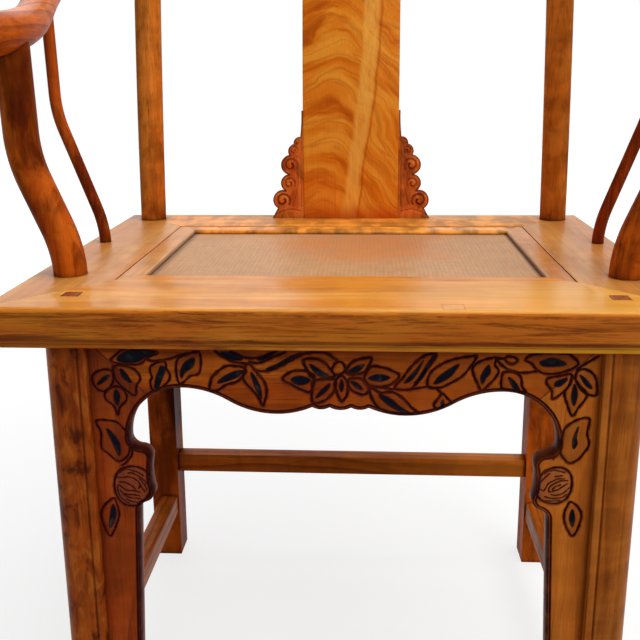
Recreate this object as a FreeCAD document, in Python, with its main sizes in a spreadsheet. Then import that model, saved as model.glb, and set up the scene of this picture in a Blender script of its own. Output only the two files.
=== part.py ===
import FreeCAD, Part
import math
import os
from types import SimpleNamespace

import Sketcher

# Horseshoe-back armchair with a carved front apron.
# X runs to the sitter's left hand seen from the front, Y runs to the back, Z is up, the floor is Z = 0.

V = FreeCAD.Vector

# Driving sizes in millimetres
SIZES = {
    # seat frame
    "seat_width": 600,
    "seat_depth": 470,
    "seat_height": 500,
    "seat_rail_thick": 38.8,
    "front_rail_width": 100,
    "side_rail_width": 86,
    "back_rail_width": 88,
    "edge_undercut": 11,
    "edge_step": 2,
    "edge_band": 4.6,
    "edge_round": 4,
    "frame_tenon_thick": 11,
    "front_tenon_width": 40,
    "front_tenon_inset": 36,
    "back_tenon_width": 20,
    "back_tenon_inset": 58,
    # seat panel
    "strip_drop": 0.8,
    "strip_width": 23,
    "strip_thick": 5,
    "mat_thick": 2.5,
    "board_thick": 8,
    "ledge_width": 24,
    "panel_gap": 0.4,
    "bearer_width": 32,
    "bearer_spacing": 170,
    # legs
    "leg_size": 40,
    "leg_outer_round": 18,
    "leg_side_round": 7,
    "leg_bead": 6,
    "leg_bead_groove": 2.5,
    "leg_splay_side": 8,
    "leg_splay_fore": 4,
    "front_leg_x": 243,
    "front_leg_inset": 47,
    "leg_tenon": 16,
    "leg_tenon_shift": 6,
    # back posts
    "back_post_x": 262,
    "back_post_inset": 34,
    "back_post_d": 32.5,
    "back_post_lean": 22,
    "back_post_draw_in": 11,
    "back_joint_rise": 386,
    "fit_clearance": 0.3,
    # arm posts
    "arm_post_x": 263.5,
    "arm_post_inset": 121,
    "arm_post_d": 32,
    "arm_post_bow": 34,
    "arm_post_bow_rise": 135,
    "arm_post_straight": 45,
    "arm_joint_rise": 222,
    "arm_tenon_d": 16,
    # side posts
    "side_post_x": 278.5,
    "side_post_inset": 279,
    "side_post_d": 12.8,
    "side_post_bow": 43,
    "side_post_bow_rise": 165,
    "side_post_straight": 92,
    "side_joint_rise": 268,
    "side_tenon_d": 8,
    "post_tenon_depth": 18,
    # horseshoe rail
    "crest_rise": 465,
    "crest_behind_seat": 75,
    "rail_d": 34,
    "hand_d": 38,
    "hand_flare": 34,
    "hand_reach": 82,
    "hand_drop": 7,
    "scarf_length": 96,
    "scarf_clear": 14,
    "peg_size": 8,
    # back splat and its spandrels
    "splat_width": 123,
    "splat_thick": 12,
    "splat_inset": 24,
    "splat_straight": 60,
    "splat_housing": 12,
    "spandrel_thick": 9,
    "spandrel_reach": 42,
    "spandrel_foot_rise": 13,
    "spandrel_scroll_rise": 23,
    "spandrel_lobe_rise": 21,
    "spandrel_leaf_rise": 25,
    "spandrel_bud_rise": 14,
    "spandrel_tip_rise": 9,
    "spandrel_tail_rise": 33,
    "spandrel_ankle": 35,
    "spandrel_waist": 24.3,
    "spandrel_neck": 19.4,
    "spandrel_throat": 18.4,
    "spandrel_bud": 12.4,
    "spandrel_tail": 3.8,
    "spandrel_tail_end": 2,
    "spandrel_scroll_sag": 11,
    "spandrel_lobe_sag": 8.2,
    "spandrel_leaf_sag": 10.6,
    "spandrel_bud_sag": 4,
    "spandrel_tip_sag": 3.2,
    "spandrel_tail_sag": 0.6,
    # front apron
    "apron_thick": 15,
    "apron_setback": 7,
    "apron_centre_drop": 60.7,
    "apron_scallop": 9.5,
    "apron_cusp": 25,
    "apron_scallop_sag": 2.5,
    "apron_belly_x": 57,
    "apron_belly": 7,
    "apron_arch_drop": 43.7,
    "apron_arch_rise": 50,
    "apron_narrow": 31,
    "apron_lobe_depth": 19,
    "apron_lobe_step": 20,
    "apron_lobe_height": 34,
    "apron_lobe_sag": 2,
    "apron_foot_back": 15,
    "apron_foot_step": 20,
    "apron_foot_width": 30,
    "apron_mitre_run": 75,
    # side and back aprons
    "plain_apron_thick": 12,
    "plain_apron_drop": 34,
    "plain_apron_end": 34,
    "plain_apron_end_width": 24,
    "plain_apron_sweep": 46,
    "side_apron_x": 249,
    "back_apron_setback": 8,
    # stretchers and footrest
    "stretcher_thick": 26,
    "stretcher_width": 23,
    "stretcher_tenon_thick": 14,
    "stretcher_tenon_width": 10,
    "stretcher_tenon_length": 14,
    "back_stretcher_top": 160,
    "side_stretcher_top": 97,
    "side_stretcher_x": 262,
    "footrest_top": 70,
    "footrest_thick": 22,
    "footrest_width": 46,
    "footrest_overhang": 7,
    "foot_apron_thick": 12,
    "foot_apron_height": 26,
    "foot_apron_setback": 14,
}

doc = FreeCAD.newDocument("carved_chair")
sheet = doc.addObject("Spreadsheet::Sheet", "Sizes")
for row, (name, number) in enumerate(SIZES.items(), start=1):
    sheet.set(f"A{row}", name)
    sheet.set(f"B{row}", str(number))
    sheet.setAlias(f"B{row}", name)
doc.recompute()


class Size:
    """A number together with the sheet expression that gives it."""

    def __init__(self, number, text):
        self.number = number
        self.text = text

    def __add__(self, other):
        other = as_size(other)
        return Size(self.number + other.number, f"({self.text} + {other.text})")

    def __sub__(self, other):
        other = as_size(other)
        return Size(self.number - other.number, f"({self.text} - {other.text})")

    def __mul__(self, other):
        other = as_size(other)
        return Size(self.number * other.number, f"({self.text} * {other.text})")

    def __truediv__(self, other):
        other = as_size(other)
        return Size(self.number / other.number, f"({self.text} / {other.text})")

    def __neg__(self):
        return Size(-self.number, f"(0 - {self.text})")

    def __radd__(self, other):
        return as_size(other) + self

    def __rsub__(self, other):
        return as_size(other) - self

    def __rmul__(self, other):
        return as_size(other) * self


def as_size(value):
    if isinstance(value, Size):
        return value
    return Size(float(value), f"({float(value)})")


s = SimpleNamespace(**{name: Size(float(sheet.get(name)), f"Sizes.{name}") for name in SIZES})

# Places that several pieces share
overall_depth = s.seat_depth + s.crest_behind_seat
front = overall_depth / -2
back_edge = front + s.seat_depth
half_width = s.seat_width / 2
seat_top = s.seat_height
seat_under = seat_top - s.seat_rail_thick
ledge_top = seat_top - s.strip_drop - s.strip_thick - s.mat_thick - s.board_thick
front_leg_y = front + s.front_leg_inset
back_post_y = back_edge - s.back_post_inset
arm_post_y = front + s.arm_post_inset
side_post_y = front + s.side_post_inset
arm_rail_x = s.arm_post_x + s.arm_post_bow
side_rail_x = s.side_post_x + s.side_post_bow
splat_y = back_edge - s.splat_inset
crest_y = overall_depth / 2 - s.rail_d / 2
crest_z = seat_top + s.crest_rise - s.rail_d / 2
back_joint_x = s.back_post_x - s.back_post_draw_in
half_leg = s.leg_size / 2


# Sketches and features

def bind(thing, name, value):
    thing.setExpression(name, as_size(value).text)


def new_body(name):
    body = doc.addObject("PartDesign::Body", name)
    body.Label = name
    return body


def new_sketch(body, name, plane, lift):
    sketch = body.newObject("Sketcher::SketchObject", name)
    support = [f for f in body.Origin.OriginFeatures if getattr(f, "Role", "") == plane][0]
    sketch.AttachmentSupport = (support, [""])
    sketch.MapMode = "FlatFace"
    bind(sketch, "AttachmentOffset.Base.z", lift)
    return sketch


def hold(sketch, name, kind, *where_and_value):
    """Add a measured constraint whose value follows the sheet."""
    *where, value = where_and_value
    index = sketch.addConstraint(Sketcher.Constraint(kind, *where, value.number))
    sketch.renameConstraint(index, name)
    bind(sketch, f"Constraints.{name}", value)


def pin(sketch, tag, curve, end, x, y):
    hold(sketch, f"x{tag}", "DistanceX", -1, 1, curve, end, as_size(x))
    hold(sketch, f"y{tag}", "DistanceY", -1, 1, curve, end, as_size(y))


def arc_between(start, end, radius, turn):
    """The short arc from start to end; turn is 1 anticlockwise and -1 clockwise."""
    chord = end - start
    half = chord.Length / 2
    left = V(-chord.y, chord.x, 0).normalize()
    centre = (start + end) / 2 + left * (turn * math.sqrt(max(radius * radius - half * half, 0)))
    first = math.atan2(start.y - centre.y, start.x - centre.x)
    last = math.atan2(end.y - centre.y, end.x - centre.x)
    if turn < 0:
        first, last = last, first
    return Part.ArcOfCircle(Part.Circle(centre, V(0, 0, 1), radius), first, last)


def add_loop(sketch, tag, path, closed=True):
    """Draw a path; a vertex is (x, y), or (x, y, radius, turn) where an arc leaves it."""
    count = len(path)
    points = [V(as_size(v[0]).number, as_size(v[1]).number, 0) for v in path]
    runs = count if closed else count - 1
    ends = []
    for i in range(runs):
        start, end = points[i], points[(i + 1) % count]
        if len(path[i]) == 2:
            curve = sketch.addGeometry(Part.LineSegment(start, end))
            ends.append((curve, 1, 2))
        else:
            radius, turn = as_size(path[i][2]), path[i][3]
            curve = sketch.addGeometry(arc_between(start, end, radius.number, turn))
            ends.append((curve, 1, 2) if turn > 0 else (curve, 2, 1))
    for i in range(1 if not closed else 0, runs):
        before, here = ends[i - 1], ends[i]
        sketch.addConstraint(Sketcher.Constraint("Coincident", before[0], before[2], here[0], here[1]))
    for i in range(runs):
        pin(sketch, f"{tag}_{i}", ends[i][0], ends[i][1], path[i][0], path[i][1])
        if len(path[i]) > 2:
            hold(sketch, f"r{tag}_{i}", "Radius", ends[i][0], as_size(path[i][2]))
    if not closed:
        pin(sketch, f"{tag}_{runs}", ends[-1][0], ends[-1][2], path[-1][0], path[-1][1])


def draw(body, name, plane, *loops, lift=0, closed=True):
    sketch = new_sketch(body, name, plane, lift)
    for number, path in enumerate(loops):
        add_loop(sketch, f"p{number}", path, closed)
    doc.recompute()
    return sketch


def draw_circle(body, name, plane, x, y, diameter, lift=0):
    sketch = new_sketch(body, name, plane, lift)
    spot = V(as_size(x).number, as_size(y).number, 0)
    curve = sketch.addGeometry(Part.Circle(spot, V(0, 0, 1), diameter.number / 2))
    pin(sketch, "centre", curve, 3, x, y)
    hold(sketch, "width", "Diameter", curve, diameter)
    doc.recompute()
    return sketch


def pad(body, sketch, length, both_ways=False, backwards=False):
    feature = body.newObject("PartDesign::Pad", "Pad")
    feature.Profile = sketch
    feature.SideType = "Symmetric" if both_ways else "One side"
    feature.Reversed = backwards
    bind(feature, "Length", length)
    doc.recompute()
    return feature


def pocket(body, sketch, depth):
    feature = body.newObject("PartDesign::Pocket", "Pocket")
    feature.Profile = sketch
    bind(feature, "Length", depth)
    doc.recompute()
    return feature


def pipe(body, profile, spine):
    feature = body.newObject("PartDesign::AdditivePipe", "Pipe")
    feature.Profile = profile
    feature.Spine = (spine, [f"Edge{i + 1}" for i in range(spine.GeometryCount)])
    doc.recompute()
    return feature


def loft(body, lower, upper):
    feature = body.newObject("PartDesign::AdditiveLoft", "Loft")
    feature.Profile = lower
    feature.Sections = [upper]
    feature.Ruled = True
    doc.recompute()
    return feature


def box(name, x, y, z, length, width, height):
    block = doc.addObject("Part::Box", name)
    for prop, value in (("Length", length), ("Width", width), ("Height", height)):
        bind(block, prop, value)
    for axis, value in (("x", x), ("y", y), ("z", z)):
        bind(block, f"Placement.Base.{axis}", value)
    return block


def rod(name, x, y, z, diameter, height):
    block = doc.addObject("Part::Cylinder", name)
    bind(block, "Radius", diameter / 2)
    bind(block, "Height", height)
    for axis, value in (("x", x), ("y", y), ("z", z)):
        bind(block, f"Placement.Base.{axis}", value)
    return block


def several(name, kind, shapes):
    group = doc.addObject(kind, name)
    group.Shapes = shapes
    return group


def joined(name, *shapes):
    return several(name, "Part::MultiFuse", list(shapes))


def shared(name, *shapes):
    return several(name, "Part::MultiCommon", list(shapes))


def cut(name, base, *tools):
    tool = tools[0] if len(tools) == 1 else joined(f"{name}_tools", *tools)
    result = doc.addObject("Part::Cut", name)
    result.Base = base
    result.Tool = tool
    return result


def mirrored(name, source):
    copy = doc.addObject("Part::Mirroring", name)
    copy.Source = source
    copy.Normal = V(1, 0, 0)
    return copy


NODES = []


def node(thing, name):
    """Name a finished piece of the chair."""
    thing.Label = name
    NODES.append(thing)
    return thing


def pair(thing, name):
    """Name the right-hand piece and add its mirror image on the left."""
    node(thing, f"{name}_right")
    return node(mirrored(f"{name}_left", thing), f"{name}_left")


# Seat frame

def rail_profile(outer, inward, width):
    """Section of a seat rail, from its outer face inwards, with the ledge that carries the panel."""
    share = width / s.front_rail_width
    undercut = s.edge_undercut * share
    step = s.edge_step * share
    ledge = s.ledge_width * width / s.side_rail_width
    band_top = seat_under + s.edge_band
    turn = 1 if inward > 0 else -1
    return [
        (outer + inward * undercut, seat_under),
        (outer + inward * (width + ledge), seat_under),
        (outer + inward * (width + ledge), ledge_top),
        (outer + inward * width, ledge_top),
        (outer + inward * width, seat_top),
        (outer + inward * s.edge_round, seat_top, s.edge_round, turn),
        (outer, seat_top - s.edge_round),
        (outer + inward * (undercut - step), band_top),
        (outer + inward * undercut, band_top),
    ]


def mitre_corner(side, y_edge, inward, end_width):
    """Triangle beyond the mitre at one corner of the seat frame, on the end or the side rail's part."""
    reach = 1.2
    run_x = (s.side_rail_width + s.ledge_width) * side
    run_y = (end_width + s.ledge_width * end_width / s.side_rail_width) * inward
    corner_x = half_width * side
    outside = (corner_x + run_x * (reach - 1), y_edge - run_y * (reach - 1))
    inside = (corner_x - run_x * reach, y_edge + run_y * reach)
    return outside, inside


def end_rail(name, y_edge, inward, width):
    body = new_body(name)
    profile = draw(body, f"{name}_section", "YZ_Plane", rail_profile(y_edge, inward, width))
    pad(body, profile, s.seat_width, both_ways=True)
    corners = []
    for side in (1, -1):
        outside, inside = mitre_corner(side, y_edge, inward, width)
        corners.append([outside, inside, (outside[0], inside[1])])
    plan = draw(body, f"{name}_mitres", "XY_Plane", *corners, lift=seat_top)
    pocket(body, plan, s.seat_rail_thick)
    return body


def side_rail(name):
    body = new_body(name)
    profile = draw(body, f"{name}_section", "XZ_Plane", rail_profile(half_width, -1, s.side_rail_width),
                   lift=-front)
    pad(body, profile, s.seat_depth, backwards=True)
    corners = []
    for y_edge, inward, width in ((front, 1, s.front_rail_width), (back_edge, -1, s.back_rail_width)):
        outside, inside = mitre_corner(1, y_edge, inward, width)
        corners.append([outside, inside, (inside[0], outside[1])])
    plan = draw(body, f"{name}_mitres", "XY_Plane", *corners, lift=seat_top)
    pocket(body, plan, s.seat_rail_thick)
    return body


front_rail_blank = end_rail("front_rail_blank", front, 1, s.front_rail_width)
back_rail_blank = end_rail("back_rail_blank", back_edge, -1, s.back_rail_width)
right_rail_blank = side_rail("right_rail_blank")

tenon_z = seat_under + s.edge_band + s.edge_step
tenon_x = half_width - s.side_rail_width
front_tenon_y = front + s.front_tenon_inset
back_tenon_y = back_edge - s.back_tenon_inset - s.back_tenon_width
front_tenon_stock = box("front_tenon_stock", tenon_x, front_tenon_y, tenon_z,
                        s.side_rail_width, s.front_tenon_width, s.frame_tenon_thick)
back_tenon_stock = box("back_tenon_stock", tenon_x, back_tenon_y, tenon_z,
                       s.side_rail_width, s.back_tenon_width, s.frame_tenon_thick)
front_tenon = shared("front_tenon", front_tenon_stock, right_rail_blank)
back_tenon = shared("back_tenon", back_tenon_stock, right_rail_blank)


# Legs

def leg_outline(x, y, outer_back):
    """Leg section, round on the outside and square on the inside, with a bead line where the apron meets it."""
    big, small, bead, groove = s.leg_outer_round, s.leg_side_round, s.leg_bead, s.leg_bead_groove
    fore, rear = (small, big) if outer_back else (big, small)
    path = [(x - half_leg, y - half_leg)]
    if not outer_back:
        path += [
            (x - half_leg + bead, y - half_leg),
            (x - half_leg + bead + groove / 2, y - half_leg + groove),
            (x - half_leg + bead + groove, y - half_leg),
        ]
    return path + [
        (x + half_leg - fore, y - half_leg, fore, 1),
        (x + half_leg, y - half_leg + fore),
        (x + half_leg, y + half_leg - rear, rear, 1),
        (x + half_leg - rear, y + half_leg),
        (x - half_leg, y + half_leg),
    ]


def splayed_leg(name, x, y, fore_splay, outer_back):
    body = new_body(name)
    foot = draw(body, f"{name}_foot", "XY_Plane",
                leg_outline(x + s.leg_splay_side, y + fore_splay, outer_back))
    head = draw(body, f"{name}_head", "XY_Plane", leg_outline(x, y, outer_back), lift=seat_under)
    loft(body, foot, head)
    return body


front_leg_blank = splayed_leg("front_leg_blank", s.front_leg_x, front_leg_y, -s.leg_splay_fore, False)
leg_tenon_x = s.front_leg_x - s.leg_tenon_shift
half_tenon = s.leg_tenon / 2
leg_tenon_plan = draw(front_leg_blank, "leg_tenon_plan", "XY_Plane", [
    (leg_tenon_x - half_tenon, front_leg_y - half_tenon),
    (leg_tenon_x + half_tenon, front_leg_y - half_tenon),
    (leg_tenon_x + half_tenon, front_leg_y + half_tenon),
    (leg_tenon_x - half_tenon, front_leg_y + half_tenon),
], lift=seat_under)
pad(front_leg_blank, leg_tenon_plan, s.seat_rail_thick)

back_leg_blank = splayed_leg("back_leg_blank", s.back_post_x, back_post_y, s.leg_splay_fore, True)
lean, climb = s.back_post_lean, s.back_joint_rise
post_radius = (lean * lean + climb * climb) / (2 * lean)
back_post_round = draw_circle(back_leg_blank, "back_post_round", "XY_Plane",
                              s.back_post_x, back_post_y, s.back_post_d, lift=seat_under)
pad(back_leg_blank, back_post_round, s.seat_rail_thick)
back_post_line = draw(back_leg_blank, "back_post_line", "YZ_Plane", [
    (back_post_y, 0, post_radius, -1),
    (back_post_y + lean, climb),
], lift=s.back_post_x, closed=False)
back_post_line.AttachmentOffset = FreeCAD.Placement(V(), FreeCAD.Rotation(V(1, 0, 0), -1))
bind(back_post_line, "AttachmentOffset.Base.y", seat_top)
back_post_line.setExpression("AttachmentOffset.Rotation.Angle", f"-atan({(s.back_post_draw_in / climb).text})")
back_post_start = draw_circle(back_leg_blank, "back_post_start", "XY_Plane",
                              s.back_post_x, back_post_y, s.back_post_d, lift=seat_top)
pipe(back_leg_blank, back_post_start, back_post_line)

legs_right = (front_leg_blank, back_leg_blank)
front_leg_blank_left = mirrored("front_leg_blank_left", front_leg_blank)
back_leg_blank_left = mirrored("back_leg_blank_left", back_leg_blank)


# Horseshoe rail

def rail_points():
    """Centre line of the right half of the rail, from the middle of the crest to the hand."""
    return [V(x.number, y.number, z.number) for x, y, z in (
        (as_size(0), crest_y, crest_z),
        (back_joint_x, back_post_y + lean, seat_top + climb),
        (side_rail_x, side_post_y, seat_top + s.side_joint_rise),
        (arm_rail_x, arm_post_y, seat_top + s.arm_joint_rise),
        (arm_rail_x + s.hand_flare, arm_post_y - s.hand_reach, seat_top + s.arm_joint_rise - s.hand_drop),
    )]


right_half = rail_points()
left_half = [V(-point.x, point.y, point.z) for point in reversed(right_half[1:])]
rail_line = Part.BSplineCurve()
rail_line.interpolate(Points=left_half + right_half)
rail_middle = rail_line.parameter(right_half[0])
RAIL_SECTIONS = 26
HAND_ANGLES = (25, 45, 62, 76)


def rail_at(share):
    """Centre and direction at a share of the way from the middle of the crest to the hand."""
    place = rail_middle + (rail_line.LastParameter - rail_middle) * share
    return rail_line.value(place), rail_line.tangent(place)[0]


def rail_radius(share):
    """The rail is even along the back and swells into the hand."""
    swell = max(0.0, (share - 0.82) / 0.18)
    thin, thick = s.rail_d.number / 2, s.hand_d.number / 2
    return thin + (thick - thin) * math.sin(swell * math.pi / 2)


def ring_at(centre, along, radius):
    ring = Part.Wire([Part.makeCircle(radius)])
    ring.Placement = FreeCAD.Placement(centre, FreeCAD.Rotation(V(0, 0, 1), V(), along, "ZXY"))
    return ring


def rail_half(extra):
    """Right half of the rail with its rounded hand as one loft, larger all round by extra."""
    rings = []
    for i in range(RAIL_SECTIONS + 1):
        share = i / RAIL_SECTIONS
        rings.append(ring_at(*rail_at(share), rail_radius(share) + extra))
    tip, along = rail_at(1.0)
    radius = rail_radius(1.0)
    for angle in HAND_ANGLES:
        turn = math.radians(angle)
        rings.append(ring_at(tip + along * (radius * math.sin(turn)), along, radius * math.cos(turn) + extra))
    return Part.makeLoft(rings, True, False)


def feature(name, shape):
    thing = doc.addObject("Part::Feature", name)
    thing.Shape = shape
    thing.Placement = FreeCAD.Placement()
    return thing


rail_half_shape = rail_half(0.0)
rail_room = feature("rail_room", rail_half(s.fit_clearance.number))


def scarf_middle():
    """Centre and direction of the rail in the middle of its scarf joint, clear of the back post."""
    post_place = rail_line.parameter(right_half[1])
    ahead_of_post = s.back_post_d.number / 2 + s.scarf_clear.number + s.scarf_length.number / 2
    place = rail_line.parameterAtDistance(ahead_of_post, post_place)
    return rail_line.value(place), rail_line.tangent(place)[0]


def scarf_block(length, width, height, start, low):
    """Block in the scarf joint's axes: along the rail from start, evenly across it, and up from low."""
    centre, along = scarf_middle()
    outwards = V(0, 0, 1).cross(along).normalize()
    block = Part.makeBox(length, width, height, V(start, -width / 2, low))
    block.Placement = FreeCAD.Placement(centre, FreeCAD.Rotation(along, outwards, V(), "XYZ"))
    return block


far = overall_depth.number
lap = s.scarf_length.number
peg = s.peg_size.number
girth = s.rail_d.number
ahead = scarf_block(far, 2 * far, 2 * far, -lap / 2, -far)
upper_lap = scarf_block(lap, 3 * girth, 2 * girth, -lap / 2, 0)
peg_room = scarf_block(peg, 2 * girth, peg, -peg / 2, -peg / 2)
arm_shape = rail_half_shape.common(ahead).cut(upper_lap)
crest_shape = rail_half_shape.cut(arm_shape)
peg_shape = rail_half_shape.common(peg_room)
arm_blank = feature("arm_blank", arm_shape)
crest_half = feature("crest_half", crest_shape)
peg_right = feature("peg_right", peg_shape)
peg_left = mirrored("peg_left", peg_right)
crest_blank = joined("crest_blank", crest_half, mirrored("crest_half_left", crest_half))
crest_blank.Refine = True
node(joined("scarf_pegs", peg_right, peg_left), "scarf_pegs")


# Posts

def bowed_post(name, x, y, bow, bow_rise, straight, top, diameter):
    """Round post that stands up from the seat, swings outwards in an S and ends upright under the arm."""
    body = new_body(name)
    half_tan = bow / (bow_rise + straight)
    square = half_tan * half_tan
    radius = (bow_rise * (1 + square) - straight * (1 - square)) / (4 * half_tan)
    bend_rise = radius * 2 * half_tan / (1 + square)
    bend_bow = bend_rise * half_tan
    line = draw(body, f"{name}_line", "XZ_Plane", [
        (x, seat_top, radius, -1),
        (x + bend_bow, seat_top + bend_rise),
        (x + bow - bend_bow, seat_top + bow_rise - bend_rise, radius, 1),
        (x + bow, seat_top + bow_rise),
        (x + bow, seat_top + top),
    ], lift=-y, closed=False)
    ring = draw_circle(body, f"{name}_ring", "XY_Plane", x, y, diameter, lift=seat_top)
    pipe(body, ring, line)
    return body


def post_tenons(name, x, y, top_x, top_y, top_z, diameter):
    """Round tenons at the foot and the head of a post, and the holes that take them."""
    depth = s.post_tenon_depth
    hole = diameter + 2 * s.fit_clearance
    head_z = top_z - depth
    return (
        rod(f"{name}_foot_tenon", x, y, seat_top - depth, diameter, depth),
        rod(f"{name}_head_tenon", top_x, top_y, head_z - depth, diameter, 2 * depth),
        rod(f"{name}_foot_hole", x, y, seat_top - depth, hole, depth),
        rod(f"{name}_head_hole", top_x, top_y, head_z - depth, hole, 2 * depth),
    )


arm_post_blank = bowed_post("arm_post_blank", s.arm_post_x, arm_post_y, s.arm_post_bow,
                            s.arm_post_bow_rise, s.arm_post_straight, s.arm_joint_rise, s.arm_post_d)
arm_foot, arm_head, arm_foot_hole, arm_head_hole = post_tenons(
    "arm_post", s.arm_post_x, arm_post_y, arm_rail_x, arm_post_y, seat_top + s.arm_joint_rise, s.arm_tenon_d)
arm_post = joined("arm_post", cut("arm_post_trim", arm_post_blank, rail_room), arm_foot, arm_head)

side_post_blank = bowed_post("side_post_blank", s.side_post_x, side_post_y, s.side_post_bow,
                             s.side_post_bow_rise, s.side_post_straight, s.side_joint_rise, s.side_post_d)
side_foot, side_head, side_foot_hole, side_head_hole = post_tenons(
    "side_post", s.side_post_x, side_post_y, side_rail_x, side_post_y, seat_top + s.side_joint_rise,
    s.side_tenon_d)
side_post = joined("side_post", cut("side_post_trim", side_post_blank, rail_room), side_foot, side_head)

back_head_z = seat_top + climb - s.post_tenon_depth
back_head = rod("back_post_head", back_joint_x, back_post_y + lean, back_head_z - s.post_tenon_depth,
                s.arm_tenon_d, 2 * s.post_tenon_depth)
back_head_hole = rod("back_post_hole", back_joint_x, back_post_y + lean, back_head_z - s.post_tenon_depth,
                     s.arm_tenon_d + 2 * s.fit_clearance, 2 * s.post_tenon_depth)
post_hole = rod("post_hole", s.back_post_x, back_post_y, seat_under,
                s.back_post_d + 2 * s.fit_clearance, s.seat_rail_thick)
post_hole_left = mirrored("post_hole_left", post_hole)

pair(arm_post, "arm_post")
pair(side_post, "side_post")


# Back splat: upright at its foot, then curved back to the crest

splat_lean = crest_y - splat_y
splat_climb = crest_z - seat_top - s.splat_straight
square_sum = splat_lean * splat_lean + splat_climb * splat_climb
splat_radius = square_sum / (2 * splat_lean)
sweep_cos = (splat_climb * splat_climb - splat_lean * splat_lean) / square_sum
sweep_sin = 2 * splat_lean * splat_climb / square_sum
bend_z = seat_top + s.splat_straight


def curved_board(name, thick, width, foot):
    """Board that follows the splat's curve, down to foot."""
    body = new_body(name)
    half_thick = thick / 2
    outer_r = splat_radius + half_thick
    inner_r = splat_radius - half_thick
    side = draw(body, f"{name}_side", "YZ_Plane", [
        (splat_y - half_thick, foot),
        (splat_y + half_thick, foot),
        (splat_y + half_thick, bend_z, inner_r, -1),
        (splat_y + splat_radius - inner_r * sweep_cos, bend_z + inner_r * sweep_sin),
        (splat_y + splat_radius - outer_r * sweep_cos, bend_z + outer_r * sweep_sin, outer_r, 1),
        (splat_y - half_thick, bend_z),
    ])
    pad(body, side, width, both_ways=True)
    return body


splat = curved_board("splat", s.splat_thick, s.splat_width, seat_top - s.splat_housing)
node(splat, "back_splat")


# Scroll spandrels beside the foot of the splat

def sag_radius(start, end, sag):
    """Radius of an arc that stands off its chord by sag."""
    run, rise = end[0] - start[0], end[1] - start[1]
    return ((run * run + rise * rise) / 4 + sag * sag) / (2 * sag)


def sagged(points, sags):
    """Path whose runs are arcs; a positive sag bulges to the right of the way round, None is straight."""
    path = []
    for i, (point, sag) in enumerate(zip(points, sags)):
        if sag is None:
            path.append(point)
            continue
        end = points[(i + 1) % len(points)]
        turn = 1 if sag.number > 0 else -1
        path.append((*point, sag_radius(point, end, sag * turn), turn))
    return path


root = s.splat_width / 2
foot_z = seat_top + s.spandrel_foot_rise
scroll_z = foot_z + s.spandrel_scroll_rise
lobe_z = scroll_z + s.spandrel_lobe_rise
leaf_z = lobe_z + s.spandrel_leaf_rise
bud_z = leaf_z + s.spandrel_bud_rise
tip_z = bud_z + s.spandrel_tip_rise
tail_z = tip_z + s.spandrel_tail_rise
spandrel = new_body("spandrel")
spandrel_face = draw(spandrel, "spandrel_face", "XZ_Plane", sagged([
    (root, seat_top),
    (root + s.spandrel_reach, seat_top),
    (root + s.spandrel_ankle, foot_z),
    (root + s.spandrel_waist, scroll_z),
    (root + s.spandrel_neck, lobe_z),
    (root + s.spandrel_throat, leaf_z),
    (root + s.spandrel_bud, bud_z),
    (root + s.spandrel_tail, tip_z),
    (root + s.spandrel_tail_end, tail_z),
    (root, tail_z),
], [
    None, None, s.spandrel_scroll_sag, s.spandrel_lobe_sag, s.spandrel_leaf_sag, s.spandrel_bud_sag,
    s.spandrel_tip_sag, -s.spandrel_tail_sag, None, None,
]), lift=-splat_y)
pad(spandrel, spandrel_face, 4 * s.splat_thick, both_ways=True)
spandrel_span = 2 * (root + s.spandrel_reach + s.spandrel_scroll_sag)
spandrel_sheet = curved_board("spandrel_sheet", s.spandrel_thick, spandrel_span, seat_top)
pair(shared("splat_spandrel", spandrel, spandrel_sheet), "splat_spandrel")


# Front apron: one cusped outline, mitred into a head and two side pieces

def level_bend(start, end):
    """Two equal arcs that leave start level and reach end level."""
    run, rise = end[0] - start[0], end[1] - start[1]
    radius = (run * run + rise * rise) / (4 * rise)
    return radius, ((start[0] + end[0]) / 2, (start[1] + end[1]) / 2)


def upright_bend(start, end):
    """Two equal arcs that leave start upright and reach end upright."""
    run, rise = start[0] - end[0], start[1] - end[1]
    radius = (run * run + rise * rise) / (4 * run)
    return radius, ((start[0] + end[0]) / 2, (start[1] + end[1]) / 2)


apron_y = front_leg_y - half_leg + s.apron_setback
leg_face = s.front_leg_x - half_leg
arch_half = leg_face - s.apron_narrow
centre_z = seat_under - s.apron_centre_drop
arch_z = seat_under - s.apron_arch_drop
spring_z = arch_z - s.apron_arch_rise
belly_z = centre_z - s.apron_belly
lobe_half = arch_half - s.apron_lobe_depth
lobe_top_z = spring_z - s.apron_lobe_step
lobe_low_z = lobe_top_z - s.apron_lobe_height
foot_half = lobe_half + s.apron_foot_back
foot_z = lobe_low_z - s.apron_foot_step
foot_end = leg_face - s.apron_foot_width + s.leg_splay_side
belly = (s.apron_belly_x, belly_z)
crown = (arch_half - s.apron_arch_rise, arch_z)
spring = (arch_half, spring_z)
lobe_top = (lobe_half, lobe_top_z)
lobe_low = (lobe_half, lobe_low_z)
foot_top = (foot_half, foot_z)
belly_run = s.apron_belly_x - s.apron_cusp
belly_radius = (belly_run * belly_run + s.apron_belly * s.apron_belly) / (2 * s.apron_belly)
wave_radius, wave_mid = level_bend(belly, crown)
hook_radius, hook_mid = upright_bend(spring, lobe_top)
notch_run, notch_rise = s.apron_foot_back, s.apron_foot_step
notch_radius = (notch_run * notch_run + notch_rise * notch_rise) / (4 * notch_run)
notch_mid = ((lobe_half + foot_half) / 2, (lobe_low_z + foot_z) / 2)
scallop_radius = sag_radius((-s.apron_scallop, centre_z), (s.apron_scallop, centre_z), s.apron_scallop_sag)
petal_sag = s.apron_scallop_sag * (s.apron_cusp - s.apron_scallop) / (2 * s.apron_scallop)
petal_radius = sag_radius((s.apron_scallop, centre_z), (s.apron_cusp, centre_z), petal_sag)
lobe_radius = sag_radius(lobe_top, lobe_low, s.apron_lobe_sag)
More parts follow.
